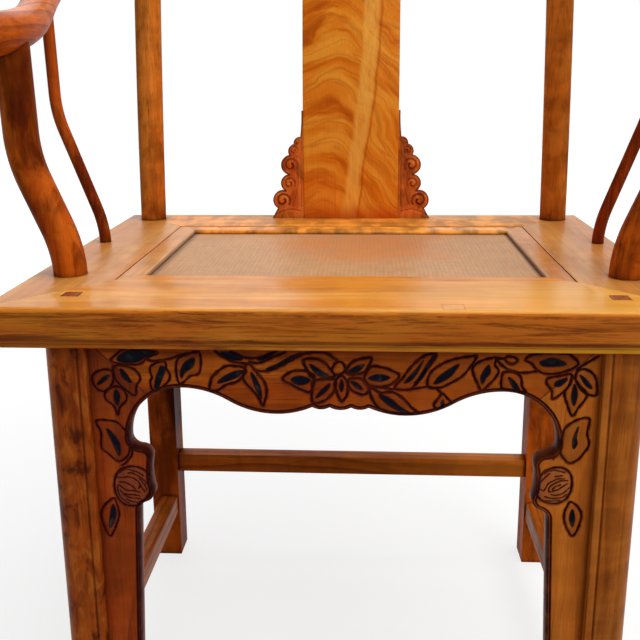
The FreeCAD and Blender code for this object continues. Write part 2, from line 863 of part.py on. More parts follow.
right_edge = [
    (s.apron_scallop, centre_z, petal_radius, 1),
    (s.apron_cusp, centre_z, belly_radius, 1),
    (*belly, wave_radius, 1),
    (*wave_mid, wave_radius, -1),
    (*crown, s.apron_arch_rise, -1),
    (*spring, hook_radius, -1),
    (*hook_mid, hook_radius, 1),
    (*lobe_top, lobe_radius, -1),
    (*lobe_low, notch_radius, 1),
    (*notch_mid, notch_radius, -1),
    foot_top,
    (foot_end, s.footrest_top),
    (s.front_leg_x, s.footrest_top),
    (s.front_leg_x, seat_under),
]


def left_of(path):
    """The same edge on the left, gone round in the same sense: each arc leaves from its other end."""
    flipped = []
    for i in range(len(path) - 1, -1, -1):
        x, y = path[i][0], path[i][1]
        leaving = path[i - 1] if i > 0 else None
        if leaving is not None and len(leaving) > 2:
            flipped.append((-x, y, leaving[2], leaving[3]))
        else:
            flipped.append((-x, y))
    return flipped


left_edge = left_of(right_edge)
left_edge[-1] = (*left_edge[-1][:2], scallop_radius, 1)
apron_blank = new_body("apron_blank")
apron_face = draw(apron_blank, "apron_face", "XZ_Plane", left_edge + right_edge, lift=-apron_y)
pad(apron_blank, apron_face, s.apron_thick, backwards=True)
front_legs = (front_leg_blank, front_leg_blank_left)
front_apron = cut("front_apron", apron_blank, *front_legs)

run = s.apron_mitre_run
mitre_room = new_body("mitre_room")
mitre_face = draw(mitre_room, "mitre_face", "XZ_Plane", [
    (leg_face + half_leg, seat_under + half_leg),
    (leg_face - run, seat_under - run),
    (leg_face - run, s.footrest_top - half_leg),
    (leg_face + s.leg_size, s.footrest_top - half_leg),
    (leg_face + s.leg_size, seat_under + half_leg),
], lift=-apron_y)
pad(mitre_room, mitre_face, s.apron_thick, backwards=True)
pair(shared("front_apron_side", front_apron, mitre_room), "front_apron_side")
node(cut("front_apron_head", front_apron, mitre_room, mirrored("mitre_room_left", mitre_room)),
     "front_apron_head")


# Plain aprons under the sides and the back of the seat

def plain_edge(first, last):
    """Apron outline from one leg to the other: deeper at the ends, with a sweep up to the middle."""
    end, sweep, width = s.plain_apron_end, s.plain_apron_sweep, s.plain_apron_end_width + half_leg
    low_z = seat_under - s.plain_apron_drop - end
    mid_z = seat_under - s.plain_apron_drop
    radius = (sweep * sweep + end * end) / (4 * end)
    return [
        (first, low_z),
        (first + width, low_z, radius, 1),
        (first + width + sweep / 2, (low_z + mid_z) / 2, radius, -1),
        (first + width + sweep, mid_z),
        (last - width - sweep, mid_z, radius, -1),
        (last - width - sweep / 2, (low_z + mid_z) / 2, radius, 1),
        (last - width, low_z),
        (last, low_z),
        (last, seat_under),
        (first, seat_under),
    ]


side_apron_blank = new_body("side_apron_blank")
side_apron_face = draw(side_apron_blank, "side_apron_face", "YZ_Plane",
                       plain_edge(front_leg_y, back_post_y), lift=s.side_apron_x)
pad(side_apron_blank, side_apron_face, s.plain_apron_thick, both_ways=True)
pair(cut("side_apron", side_apron_blank, *legs_right), "side_apron")

back_apron_y = back_post_y + half_leg - s.back_apron_setback - s.plain_apron_thick
back_apron_blank = new_body("back_apron_blank")
back_apron_face = draw(back_apron_blank, "back_apron_face", "XZ_Plane",
                       plain_edge(-s.back_post_x, s.back_post_x), lift=-back_apron_y)
pad(back_apron_blank, back_apron_face, s.plain_apron_thick, backwards=True)
back_legs = (back_leg_blank, back_leg_blank_left)
node(cut("back_apron", back_apron_blank, *back_legs), "back_apron")


# Stretchers and footrest

def splay_at(height, splay):
    """How far a leg has moved outwards at a height."""
    return splay * (seat_under - height) / seat_under


side_bar_z = s.side_stretcher_top - s.stretcher_thick
side_bar = box("side_bar", s.side_stretcher_x - s.stretcher_width / 2, front_leg_y, side_bar_z,
               s.stretcher_width, back_post_y - front_leg_y, s.stretcher_thick)
tenon_in = s.stretcher_tenon_length
tenon_wide, tenon_tall = s.stretcher_tenon_width, s.stretcher_tenon_thick
side_fore = splay_at(side_bar_z, s.leg_splay_fore)
side_tenon_y = front_leg_y + half_leg - side_fore - tenon_in
side_tenon_end = back_post_y - half_leg + side_fore + tenon_in
side_tenon_bar = box("side_tenon_bar", s.side_stretcher_x - s.stretcher_width / 2, side_tenon_y,
                     side_bar_z + (s.stretcher_thick - tenon_tall) / 2,
                     tenon_wide, side_tenon_end - side_tenon_y, tenon_tall)
side_stretcher = joined("side_stretcher", cut("side_bar_trim", side_bar, *legs_right), side_tenon_bar)
pair(side_stretcher, "side_stretcher")

back_bar_z = s.back_stretcher_top - s.stretcher_thick
back_bar_y = back_post_y - s.stretcher_width / 2
back_bar = box("back_bar", -s.back_post_x, back_bar_y, back_bar_z,
               2 * s.back_post_x, s.stretcher_width, s.stretcher_thick)
back_reach = s.back_post_x - half_leg + splay_at(s.back_stretcher_top, s.leg_splay_side) + tenon_in
back_tenon_bar = box("back_tenon_bar", -back_reach, back_bar_y + (s.stretcher_width - tenon_wide) / 2,
                     back_bar_z + (s.stretcher_thick - tenon_tall) / 2,
                     2 * back_reach, tenon_wide, tenon_tall)
back_stretcher = joined("back_stretcher", cut("back_bar_trim", back_bar, *back_legs), back_tenon_bar)
node(back_stretcher, "back_stretcher")

footrest_z = s.footrest_top - s.footrest_thick
footrest_y = front_leg_y - half_leg - splay_at(s.footrest_top, s.leg_splay_fore) - s.footrest_overhang
foot_bar = box("foot_bar", -s.front_leg_x, footrest_y, footrest_z,
               2 * s.front_leg_x, s.footrest_width, s.footrest_thick)
foot_reach = leg_face + splay_at(s.footrest_top, s.leg_splay_side) + tenon_in
foot_tenon_bar = box("foot_tenon_bar", -foot_reach, front_leg_y - tenon_wide / 2,
                     footrest_z + (s.footrest_thick - tenon_tall) / 2,
                     2 * foot_reach, tenon_wide, tenon_tall)
node(joined("footrest", cut("foot_bar_trim", foot_bar, *front_legs), foot_tenon_bar), "footrest")
foot_apron = box("foot_apron_bar", -s.front_leg_x, footrest_y + s.foot_apron_setback,
                 footrest_z - s.foot_apron_height,
                 2 * s.front_leg_x, s.foot_apron_thick, s.foot_apron_height)
node(cut("footrest_apron", foot_apron, *front_legs), "footrest_apron")


# Finished legs, with their mortises

pair(cut("front_leg", front_leg_blank, side_tenon_bar, foot_tenon_bar), "front_leg")
back_leg_trim = cut("back_leg_trim", back_leg_blank, rail_room)
back_leg_headed = joined("back_leg_headed", back_leg_trim, back_head)
pair(cut("back_leg", back_leg_headed, side_tenon_bar, back_tenon_bar), "back_leg")


# Finished seat frame, with its tenons and mortises

leg_mortise = box("leg_mortise", leg_tenon_x - half_tenon, front_leg_y - half_tenon, seat_under,
                  s.leg_tenon, s.leg_tenon, s.seat_rail_thick)
leg_mortise_left = mirrored("leg_mortise_left", leg_mortise)
front_rail_tenoned = joined("front_rail_tenoned", front_rail_blank, front_tenon,
                            mirrored("front_tenon_left", front_tenon))
node(cut("seat_rail_front", front_rail_tenoned, leg_mortise, leg_mortise_left), "seat_rail_front")
back_rail_tenoned = joined("back_rail_tenoned", back_rail_blank, back_tenon,
                           mirrored("back_tenon_left", back_tenon))
node(cut("seat_rail_back", back_rail_tenoned, post_hole, post_hole_left, splat), "seat_rail_back")
pair(cut("seat_rail_side", right_rail_blank, front_tenon_stock, back_tenon_stock, post_hole,
         arm_foot_hole, side_foot_hole, leg_mortise), "seat_rail")


# Finished horseshoe rail

node(cut("crest_rail", crest_blank, splat, back_head_hole, mirrored("back_hole_left", back_head_hole),
         peg_right, peg_left), "crest_rail")
pair(cut("arm_rail", arm_blank, arm_head_hole, side_head_hole, peg_right), "arm_rail")


# Seat panel: board, mat, beading strips and bearers

gap = s.panel_gap
panel_x = half_width - s.side_rail_width - gap
panel_y = front + s.front_rail_width + gap
panel_length = back_edge - s.back_rail_width - gap - panel_y
board_z = ledge_top
mat_z = board_z + s.board_thick
strip_z = mat_z + s.mat_thick
node(box("seat_board", -panel_x, panel_y, board_z, 2 * panel_x, panel_length, s.board_thick), "seat_board")
node(box("woven_mat", -panel_x, panel_y, mat_z, 2 * panel_x, panel_length, s.mat_thick), "woven_mat")


def strip(name, outer_a, outer_b, inner_b, inner_a):
    """Flat beading strip with mitred ends, laid over the edge of the mat."""
    body = new_body(name)
    plan = draw(body, f"{name}_plan", "XY_Plane", [outer_a, outer_b, inner_b, inner_a], lift=strip_z)
    pad(body, plan, s.strip_thick)
    return body


wide = s.strip_width
low_y, high_y = panel_y, panel_y + panel_length
node(strip("mat_strip_front", (-panel_x, low_y), (panel_x, low_y),
           (panel_x - wide, low_y + wide), (wide - panel_x, low_y + wide)), "mat_strip_front")
node(strip("mat_strip_back", (panel_x, high_y), (-panel_x, high_y),
           (wide - panel_x, high_y - wide), (panel_x - wide, high_y - wide)), "mat_strip_back")
pair(strip("mat_strip_side", (panel_x, low_y), (panel_x, high_y),
           (panel_x - wide, high_y - wide), (panel_x - wide, low_y + wide)), "mat_strip")

ledge_share = s.ledge_width / s.side_rail_width
bearer_y = front + s.front_rail_width + s.front_rail_width * ledge_share
bearer_end = back_edge - s.back_rail_width - s.back_rail_width * ledge_share
pair(box("seat_bearer", s.bearer_spacing / 2 - s.bearer_width / 2, bearer_y, seat_under,
         s.bearer_width, bearer_end - bearer_y, ledge_top - seat_under), "seat_bearer")


# Check and export

doc.recompute()
troubled = [thing.Label for thing in doc.Objects if {"Invalid", "Error"} & set(thing.State)]
if troubled:
    raise RuntimeError(f"objects in error: {troubled}")
os.makedirs("parts", exist_ok=True)
for piece in NODES:
    if piece.Shape.isNull() or not piece.Shape.isValid():
        raise RuntimeError(f"{piece.Label} has no valid shape")
    piece.Shape.exportStep(f"parts/{piece.Label}.step")
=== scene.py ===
import math

import bmesh
import bpy
import numpy as np
from bpy.props import FloatProperty, FloatVectorProperty, PointerProperty
from bpy.types import Operator, Panel, PropertyGroup
from mathutils import Matrix, Vector
from mathutils.geometry import delaunay_2d_cdt


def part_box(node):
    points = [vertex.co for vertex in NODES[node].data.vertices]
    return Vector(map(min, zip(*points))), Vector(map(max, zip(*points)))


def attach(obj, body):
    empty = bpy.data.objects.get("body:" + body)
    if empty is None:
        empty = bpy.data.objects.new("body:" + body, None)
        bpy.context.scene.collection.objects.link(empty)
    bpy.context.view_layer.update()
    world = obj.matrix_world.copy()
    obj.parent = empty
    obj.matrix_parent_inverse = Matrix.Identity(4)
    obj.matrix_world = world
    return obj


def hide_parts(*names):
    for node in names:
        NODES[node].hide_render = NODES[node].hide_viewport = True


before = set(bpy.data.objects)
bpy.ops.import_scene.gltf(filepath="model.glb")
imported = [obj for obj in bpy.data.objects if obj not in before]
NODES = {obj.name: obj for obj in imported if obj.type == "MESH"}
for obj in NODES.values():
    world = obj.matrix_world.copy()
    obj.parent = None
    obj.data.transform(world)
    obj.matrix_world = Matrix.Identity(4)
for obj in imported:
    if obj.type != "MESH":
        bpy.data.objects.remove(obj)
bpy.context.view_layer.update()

bl_info = {
    "name": "Carved Horseshoe Chair",
    "version": (1, 0, 0),
    "blender": (4, 5, 0),
    "location": "View3D > Sidebar > Chair",
    "description": "Wooden horseshoe-back armchair with a carved front apron and a woven seat",
    "category": "Object",
}

SIDES = ("left", "right")

# View of the chair: the camera's place, its turn, fall and roll, and its focal length in a picture 640 wide
VIEW_PLACE = Vector((0.0228, -0.9091, 0.6835))
VIEW_TURN = (Matrix.Rotation(0.0597, 4, "Z") @ Matrix.Rotation(math.pi / 2 - 0.2919, 4, "X")
             @ Matrix.Rotation(-0.0091, 4, "Z"))
VIEW_FOCAL = 820.1
VIEW_WIDTH = 640
SENSOR_WIDTH = 36


# Sizes and finishes


def tone(*screen):
    """Colour written as 0 to 255 screen values, as the linear colour that a shader takes."""
    shares = [value / 255 for value in screen]
    return tuple(((c + 0.055) / 1.055) ** 2.4 if c > 0.04 else c / 12.92 for c in shares)


def length(name, description, default):
    """A size in metres."""
    return FloatProperty(name=name, description=description, default=default, min=0, precision=5,
                         unit="LENGTH")


def colour(name, description, *screen):
    """A colour of a finish, written as screen values."""
    return FloatVectorProperty(name=name, description=description, default=tone(*screen), size=3, min=0,
                               max=1, subtype="COLOR")


class ChairSizes(PropertyGroup):
    """Sizes of the edges, the carving and the weave"""

    arris: length("Arris", "Rounding of the sawn edges", 0.0013)
    joint_break: length("Joint break", "Rounding of the edges that meet in a mitre", 0.0003)
    strip_round: length("Strip round", "Rounding of the strips towards the mat", 0.0038)
    carving_pitch: length("Carving pitch", "Spacing of the points that the carved faces are made of", 0.0007)
    groove_width: length("Groove width", "Half the width of an incised line", 0.00122)
    groove_depth: length("Groove depth", "Depth of an incised line", 0.0015)
    leaf_lift: length("Leaf lift", "Height of a leaf or petal over the ground", 0.0008)
    core_depth: length("Core depth", "Depth of the stained hollow in a leaf", 0.0010)
    bead_width: length("Bead width", "Width of the bead along the cusped edge", 0.0026)
    cane_pitch: length("Cane pitch", "Spacing of the strands that run from front to back", 0.00435)
    cane_course: length("Cane course", "Spacing of the strands that run from side to side", 0.0022)
    cane_relief: length("Cane relief", "Height of a strand over the one that it crosses", 0.00013)


class ChairFinishes(PropertyGroup):
    """Colours of the wood, the stain and the mat"""

    honey_light: colour("Honey light", "Pale streaks of the seat frame", 248, 172, 78)
    honey_body: colour("Honey body", "Wood of the seat frame", 232, 142, 46)
    honey_dark: colour("Honey dark", "Late wood of the seat frame", 126, 52, 10)
    # Rail grey: worn grey-brown that also paints the pale reflection on the tops of the side rails and
    # strips
    rail_grey: colour("Rail grey", "Worn grey-brown over the seat's side rails", 150, 104, 74)
    edge_body: colour("Edge body", "Wood of the seat frame's outer edge", 236, 114, 22)
    edge_gold: colour("Edge gold", "Golden patches of the seat frame's outer edge", 244, 148, 36)
    edge_red: colour("Edge red", "Dark red streaks of the seat frame's outer edge", 108, 36, 9)
    frame_light: colour("Frame light", "Pale streaks of the legs, posts and aprons", 222, 116, 30)
    frame_body: colour("Frame body", "Wood of the legs, posts and aprons", 190, 84, 17)
    frame_dark: colour("Frame dark", "Late wood of the legs, posts and aprons", 66, 19, 5)
    ruddy_light: colour("Ruddy light", "Pale streaks of the redder pieces", 206, 96, 28)
    ruddy_body: colour("Ruddy body", "Wood of the redder pieces", 172, 66, 17)
    ruddy_dark: colour("Ruddy dark", "Late wood of the redder pieces", 58, 16, 6)
    burl_light: colour("Burl light", "Pale figure of the splat", 246, 160, 50)
    burl_body: colour("Burl body", "Wood of the splat", 230, 124, 20)
    burl_dark: colour("Burl dark", "Dark figure of the splat", 168, 66, 8)
    scroll_light: colour("Scroll light", "Pale streaks of the spandrels", 242, 138, 56)
    scroll_body: colour("Scroll body", "Wood of the spandrels", 216, 98, 34)
    scroll_dark: colour("Scroll dark", "Late wood of the spandrels", 112, 34, 14)
    # Scroll stain is also the colour of the painted shade along the spandrels' rims
    scroll_stain: colour("Scroll stain", "Brown in the spandrels' lines", 62, 18, 8)
    stain: colour("Stain", "Dark red-brown in the incised lines", 48, 12, 9)
    ink: colour("Ink", "Blue-black in the hollows of the leaves", 7, 8, 22)
    # Worn ink: worn patches of the ink that also stand for the painted highlights in its hollows
    ink_wear_glint: colour("Worn ink", "Grey-green where the ink has worn", 78, 84, 84)
    cane: colour("Cane", "Strands of the woven mat", 217, 170, 124)
    cane_shade: colour("Cane shade", "Gaps between the strands", 206, 157, 112)


def finish(name):
    """One of the finishes' colours."""
    return Vector(getattr(bpy.context.scene.chair_finishes, name))


def finish_tones(kind, other=None, share=0.5):
    """Light, body and dark colour of a kind of wood, or of one kind with a share of another."""
    tones = [finish(f"{kind}_{part}") for part in ("light", "body", "dark")]
    if other:
        tones = [first.lerp(second, share) for first, second in zip(tones, finish_tones(other))]
    return tones


# Mesh helpers


def only(piece):
    """Selects one piece and makes it the active one."""
    bpy.ops.object.select_all(action="DESELECT")
    piece.select_set(True)
    bpy.context.view_layer.objects.active = piece


def node_copy(node, name):
    """New piece with its own copy of a node's mesh, its triangles merged into whole faces."""
    piece = bpy.data.objects.new(name, NODES[node].data.copy())
    bpy.context.scene.collection.objects.link(piece)
    piece.data.name = name
    piece.data.materials.clear()
    only(piece)
    bpy.ops.object.mode_set(mode="EDIT")
    bpy.ops.mesh.customdata_custom_splitnormals_clear()
    bpy.ops.mesh.select_mode(type="VERT")
    bpy.ops.mesh.select_all(action="SELECT")
    bpy.ops.mesh.remove_doubles(threshold=1e-5)
    bpy.ops.mesh.dissolve_limited(angle_limit=math.radians(0.4))
    bpy.ops.object.mode_set(mode="OBJECT")
    return piece


def soften(piece, width, choose=None, segments=3, shortest=0.012, least_angle=25):
    """Rounds the long sharp edges of a piece, or those of them that are chosen."""
    only(piece)
    bpy.ops.object.mode_set(mode="EDIT")
    bpy.ops.mesh.select_mode(type="EDGE")
    bpy.ops.mesh.select_all(action="DESELECT")
    shape = bmesh.from_edit_mesh(piece.data)
    for edge in shape.edges:
        sharp = len(edge.link_faces) == 2 and edge.calc_face_angle(0) > math.radians(least_angle)
        edge.select = sharp and edge.calc_length() > shortest and (choose is None or choose(edge))
    shape.select_flush_mode()
    bmesh.update_edit_mesh(piece.data)
    if any(edge.select for edge in shape.edges):
        bpy.ops.mesh.bevel(offset=width, segments=segments, profile=0.5, affect="EDGES", clamp_overlap=False)
    bpy.ops.object.mode_set(mode="OBJECT")
    smooth(piece)


def middle_of(edge):
    """Middle of an edge."""
    return (edge.verts[0].co + edge.verts[1].co) / 2


def slanting(edge):
    """Whether an edge runs across the chair's axes, as a mitre does."""
    way = edge.verts[1].co - edge.verts[0].co
    return min(abs(way.x), abs(way.y)) > 0.2 * way.length


def square(edge):
    """Whether an edge runs along one of the chair's axes."""
    return not slanting(edge)


def smooth(piece, angle=35):
    """Smooth shading, broken at the piece's sharp edges."""
    only(piece)
    bpy.ops.object.shade_smooth_by_angle(angle=math.radians(angle))


def dress(mesh, material):
    """Gives a mesh its one finish."""
    mesh.materials.clear()
    mesh.materials.append(material)


def dress_node(node, material):
    """Gives a node that keeps its own shape a finish."""
    dress(NODES[node].data, material)


def settle(piece, node, material):
    """Gives a piece its finish and lets it stand for a node."""
    dress(piece.data, material)
    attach(piece, "root")
    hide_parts(node)


def softened(nodes, material, width):
    """Replaces nodes by copies with rounded edges."""
    for node in nodes:
        piece = node_copy(node, f"{node}_eased")
        soften(piece, width)
        settle(piece, node, material)


# Shader helpers


class Tree:
    """Adds nodes to a shader tree and joins their sockets."""

    def __init__(self, tree):
        self.tree = tree

    def add(self, kind, values=(), **settings):
        """New node with its settings and the values of its inputs."""
        node = self.tree.nodes.new(kind)
        for key, value in settings.items():
            setattr(node, key, value)
        for socket, value in dict(values).items():
            self.put(node.inputs[socket], value)
        return node

    def put(self, socket, value):
        """Joins an input to an output, or sets it."""
        if isinstance(value, bpy.types.NodeSocket):
            self.tree.links.new(value, socket)
        elif value is not None:
            socket.default_value = (*value, 1) if socket.type == "RGBA" and len(value) == 3 else value

    def group(self, name, values):
        """Outputs of one of the shared groups."""
        return self.add("ShaderNodeGroup", values, node_tree=GROUPS[name]).outputs

    def attribute(self, name):
        """Value that a mesh carries on its points."""
        return self.add("ShaderNodeAttribute", attribute_name=name, attribute_type="GEOMETRY").outputs["Fac"]

    def parts(self, vector):
        """The X, Y and Z of a vector."""
        return self.add("ShaderNodeSeparateXYZ", {"Vector": vector}).outputs

    def joined(self, x, y, z):
        """Vector of three values."""
        return self.add("ShaderNodeCombineXYZ", {0: x, 1: y, 2: z}).outputs[0]

    def seen(self):
        """1 for what the camera sees, itself or in a reflection, and 0 for light that falls on a surface."""
        path = self.add("ShaderNodeLightPath").outputs
        return self.most(path["Is Camera Ray"], path["Is Glossy Ray"], path["Is Transmission Ray"])

    def math(self, operation, first, second=None, third=None):
        """Result of a math node."""
        node = self.add("ShaderNodeMath", operation=operation)
        for socket, value in zip(node.inputs, (first, second, third)):
            self.put(socket, value)
        return node.outputs[0]

    def vector_math(self, operation, first, second=None, output=0):
        """Result of a vector math node."""
        values = {0: first} if second is None else {0: first, 1: second}
        return self.add("ShaderNodeVectorMath", values, operation=operation).outputs[output]

    def plus(self, first, second):
        """Sum."""
        return self.math("ADD", first, second)

    def minus(self, first, second):
        """Difference."""
        return self.math("SUBTRACT", first, second)

    def times(self, first, *others):
        """Product."""
        for other in others:
            first = self.math("MULTIPLY", first, other)
        return first

    def most(self, first, *others):
        """Greatest of some values."""
        for other in others:
            first = self.math("MAXIMUM", first, other)
        return first

    def rise(self, value, low, high, start=0.0, end=1.0):
        """Value from start to end as the input goes from low to high."""
        values = {"Value": value, "From Min": low, "From Max": high, "To Min": start, "To Max": end}
        return self.add("ShaderNodeMapRange", values, interpolation_type="SMOOTHSTEP").outputs[0]

    def close(self, value, aim, far, near, share=1.0):
        """Value from 0 to a share as the input comes from far to near an aim."""
        return self.rise(self.math("ABSOLUTE", self.minus(value, aim)), far, near, 0.0, share)

    def noise(self, vector, scale, detail=3.0, roughness=0.55, distortion=0.0, stretch=None):
        """Noise, stretched along the axes whose factor is small."""
        if stretch:
            vector = self.vector_math("MULTIPLY", vector, stretch)
        values = {"Vector": vector, "Scale": scale, "Detail": detail, "Roughness": roughness,
                  "Distortion": distortion}
        return self.add("ShaderNodeTexNoise", values).outputs[0]

    def mix(self, share, first, second, blend="MIX"):
        """A colour with a share of another."""
        node = self.add("ShaderNodeMix", data_type="RGBA", blend_type=blend)
        for socket, value in zip((node.inputs[0], node.inputs[6], node.inputs[7]), (share, first, second)):
            self.put(socket, value)
        return node.outputs[2]

    def shaded(self, tint, shade):
        """A colour made lighter or darker."""
        grey = self.add("ShaderNodeCombineColor", {0: shade, 1: shade, 2: shade}).outputs[0]
        return self.mix(1.0, tint, grey, "MULTIPLY")


# Shader groups

FLOAT, VECTOR, RGBA = "NodeSocketFloat", "NodeSocketVector", "NodeSocketColor"
TONES = [("Light", RGBA), ("Body", RGBA), ("Dark", RGBA)]
FIGURE_OUTPUTS = [("Color", RGBA), ("Roughness", FLOAT), ("Height", FLOAT)]
GROUPS = {}

# Colours of the marks, among them painted shade in corners, on downturned faces and as a cast shadow,
# painted light on a band, and a grey that paints a highlight
PAINTED_CORNER_SHADE = tone(34, 12, 5)
DOWNTURN_SHADE = tone(104, 88, 78)
PAINTED_SHADOW = tone(16, 7, 12)
END_GRAIN = (tone(164, 92, 56), tone(112, 52, 30))
BAND_PAINTED_LIGHT = tone(255, 182, 44)
HALO = tone(94, 21, 13)
GREY_MARK_TINT = tone(184, 152, 136)


def new_group(name, inputs, outputs):
    """Empty shader group with named sockets, and its tree and ends."""
    group = bpy.data.node_groups.new(name, "ShaderNodeTree")
    for direction, sockets in (("INPUT", inputs), ("OUTPUT", outputs)):
        for label, kind in sockets:
            group.interface.new_socket(label, in_out=direction, socket_type=kind)
    tree = Tree(group)
    return group, tree, tree.add("NodeGroupInput").outputs, tree.add("NodeGroupOutput").inputs


def wood_figure_group():
    """Sawn wood with its grain along X: streaks, year rings, fibres, pores and darker clouds."""
    strengths = [(label, FLOAT) for label in ("Ring Scale", "Figure", "Cloud", "Fleck", "Curl", "Pore")]
    inputs = [("Vector", VECTOR), *TONES, *strengths]
    group, t, entry, leave = new_group("Wood figure", inputs, FIGURE_OUTPUTS)
    place = entry["Vector"]
    parts = t.parts(place)
    across = t.plus(parts["Y"], t.times(parts["Z"], 0.7))
    drift = t.noise(place, 9, 3, 0.5, 0.0, (0.14, 1, 1))
    ring = t.math("FRACT", t.plus(t.times(across, entry["Ring Scale"]), t.times(drift, 9.0)))
    late = t.times(t.rise(ring, 0.45, 0.93), t.rise(ring, 1.0, 0.94))
    streak = t.noise(place, 34, 5, 0.6, 0.3, (0.055, 1, 1))
    fibre = t.noise(place, 620, 3, 0.6, 0.0, (0.022, 1, 1))
    pore = t.rise(t.noise(place, 900, 2, 0.5, 0.0, (0.03, 1, 1)), 0.62, 0.72)
    cloud = t.noise(place, 22, 5, 0.65, 0.6, (0.26, 1, 1))
    fleck = t.rise(t.noise(place, 90, 4, 0.7, 0.8, (0.12, 1, 1)), 0.58, 0.76)
    curl = t.noise(place, 46, 3, 0.5, 0.5, (1, 0.45, 0.45))
    tint = t.mix(t.rise(streak, 0.36, 0.68), entry["Body"], entry["Light"])
    for mark, strength in ((late, "Figure"), (t.rise(cloud, 0.46, 0.72), "Cloud"), (fleck, "Fleck")):
        tint = t.mix(t.times(mark, entry[strength]), tint, entry["Dark"])
    wave = t.times(t.minus(t.rise(curl, 0.32, 0.68), 0.5), entry["Curl"])
    tint = t.shaded(tint, t.times(t.rise(fibre, 0.25, 0.75, 0.86, 1.10), t.plus(1.0, t.times(wave, 2.0))))
    t.put(leave["Color"], t.mix(t.times(pore, entry["Pore"]), tint, entry["Dark"]))
    t.put(leave["Roughness"], t.plus(t.rise(cloud, 0.3, 0.7, 0.30, 0.42), t.times(pore, 0.15)))
    height = t.minus(t.times(fibre, 0.5), t.times(pore, 0.7))
    t.put(leave["Height"], t.minus(height, t.times(late, 0.25)))
    return group


def burl_group():
    """Crotch figure of the splat: bands that arch up to a pale streak, dark lines and a let-in piece."""
    inputs = [("Vector", VECTOR), *TONES, ("Foot", FLOAT)]
    group, t, entry, leave = new_group("Burl figure", inputs, FIGURE_OUTPUTS)
    place, dark = entry["Vector"], entry["Dark"]
    warp = t.add("ShaderNodeTexNoise", {"Vector": place, "Scale": 11.0, "Detail": 3.0, "Roughness": 0.5})
    shift = t.vector_math("MULTIPLY", warp.outputs["Color"], (0.05, 0.0, 0.05))
    bent = t.parts(t.vector_math("ADD", place, shift))
    flat = t.parts(place)
    climb = t.minus(flat["Z"], entry["Foot"])
    middle = t.plus(t.times(t.math("SINE", t.times(climb, 5.2)), 0.03), -0.004)
    left = t.math("SMOOTH_MAX", t.minus(middle, bent["X"]), 0.0, 0.04)
    right = t.math("SMOOTH_MAX", t.minus(bent["X"], middle), 0.0, 0.04)
    arch = t.plus(bent["Z"], t.plus(t.times(left, 0.35), t.times(right, 1.15)))
    course = t.times(bent["X"], 0.9)
    band = t.noise(t.joined(course, 0.0, t.times(arch, 3.0)), 14, 4, 0.55, 0.4)
    fine = t.noise(t.joined(course, 0.3, t.times(arch, 5.5)), 14, 2, 0.5, 0.3)
    tint = t.mix(t.rise(band, 0.38, 0.66), entry["Body"], entry["Light"])
    tint = t.mix(t.rise(band, 0.44, 0.30, 0.0, 0.6), tint, dark)
    line = t.close(fine, 0.55, 0.07, 0.006, 0.3)
    tint = t.mix(line, tint, dark)
    # the pale streak, with a dark seam along its right side
    wander = t.times(t.minus(t.noise(place, 16, 2), 0.5), 0.012)
    beside = t.plus(t.minus(flat["X"], middle), wander)
    vein = t.noise(place, 190, 3, 0.6, 0.0, (1, 1, 0.07))
    pale = t.times(t.close(beside, 0.0, 0.0125, 0.0055), t.rise(vein, 0.3, 0.6, 0.4, 0.8))
    tint = t.mix(pale, tint, tone(250, 180, 76))
    tint = t.mix(t.close(beside, 0.0120, 0.0024, 0.0006, 0.45), tint, dark)
    # the piece let in at the left of the foot, and the redder foot
    inset = t.times(t.rise(flat["X"], -0.0190, -0.0215), t.rise(climb, 0.0620, 0.0595))
    piece = {"Inset": inset, "Share": 0.2, "Fill": tone(226, 98, 26), "Line": 1.2, "Dark": dark}
    tint = t.group("inlay", {"Color": tint, **piece})["Color"]
    tint = t.mix(t.rise(climb, 0.024, 0.0, 0.0, 0.7), tint, tone(196, 70, 18))
    fibre = t.noise(place, 700, 3, 0.6, 0.0, (1, 1, 0.05))
    t.put(leave["Color"], t.shaded(tint, t.rise(fibre, 0.25, 0.75, 0.92, 1.06)))
    t.put(leave["Roughness"], t.rise(band, 0.3, 0.7, 0.40, 0.30))
    t.put(leave["Height"], t.plus(t.times(fibre, 0.5), t.times(line, -0.6)))
    return group


def rail_course_group():
    """Coordinates that run along the horseshoe rail: along it, out from its middle and up."""
    group, t, entry, leave = new_group("Rail course", [("Vector", VECTOR)], [("Vector", VECTOR)])
    parts = t.parts(entry["Vector"])
    back = t.plus(parts["Y"], 0.04)
    behind = t.most(back, 0.0001)
    ahead = t.most(t.times(back, -1.0), 0.0)
    turn = t.times(t.math("ARCTAN2", parts["X"], behind), 0.31)
    along = t.plus(turn, t.times(t.math("SIGN", parts["X"]), ahead))
    out = t.math("SQRT", t.plus(t.math("POWER", parts["X"], 2.0), t.math("POWER", behind, 2.0)))
    t.put(leave["Vector"], t.joined(along, out, parts["Z"]))
    return group


def mark_group(name, inputs, outputs=()):
    """Empty shader group for a mark that is laid over a colour."""
    return new_group(name, [("Color", RGBA), *inputs], [("Color", RGBA), *outputs])


def inlay_group():
    """A piece let in, and a dark line round it."""
    group, t, entry, leave = mark_group(
        "Inlay", [("Inset", FLOAT), ("Share", FLOAT), ("Fill", RGBA), ("Line", FLOAT), ("Dark", RGBA)])
    inset = entry["Inset"]
    tint = t.mix(t.times(inset, entry["Share"]), entry["Color"], entry["Fill"])
    border = t.times(inset, t.minus(1.0, inset))
    t.put(leave["Color"], t.mix(t.times(border, entry["Line"]), tint, entry["Dark"]))
    return group


def fade_group():
    """A tint that comes in to its share as a value goes from start to full."""
    inputs = [(label, FLOAT) for label in ("Value", "Start", "Full", "Share")]
    group, t, entry, leave = mark_group("Fade", [*inputs, ("Tint", RGBA)])
    share = t.rise(entry["Value"], entry["Start"], entry["Full"], 0.0, entry["Share"])
    t.put(leave["Color"], t.mix(share, entry["Color"], entry["Tint"]))
    return group


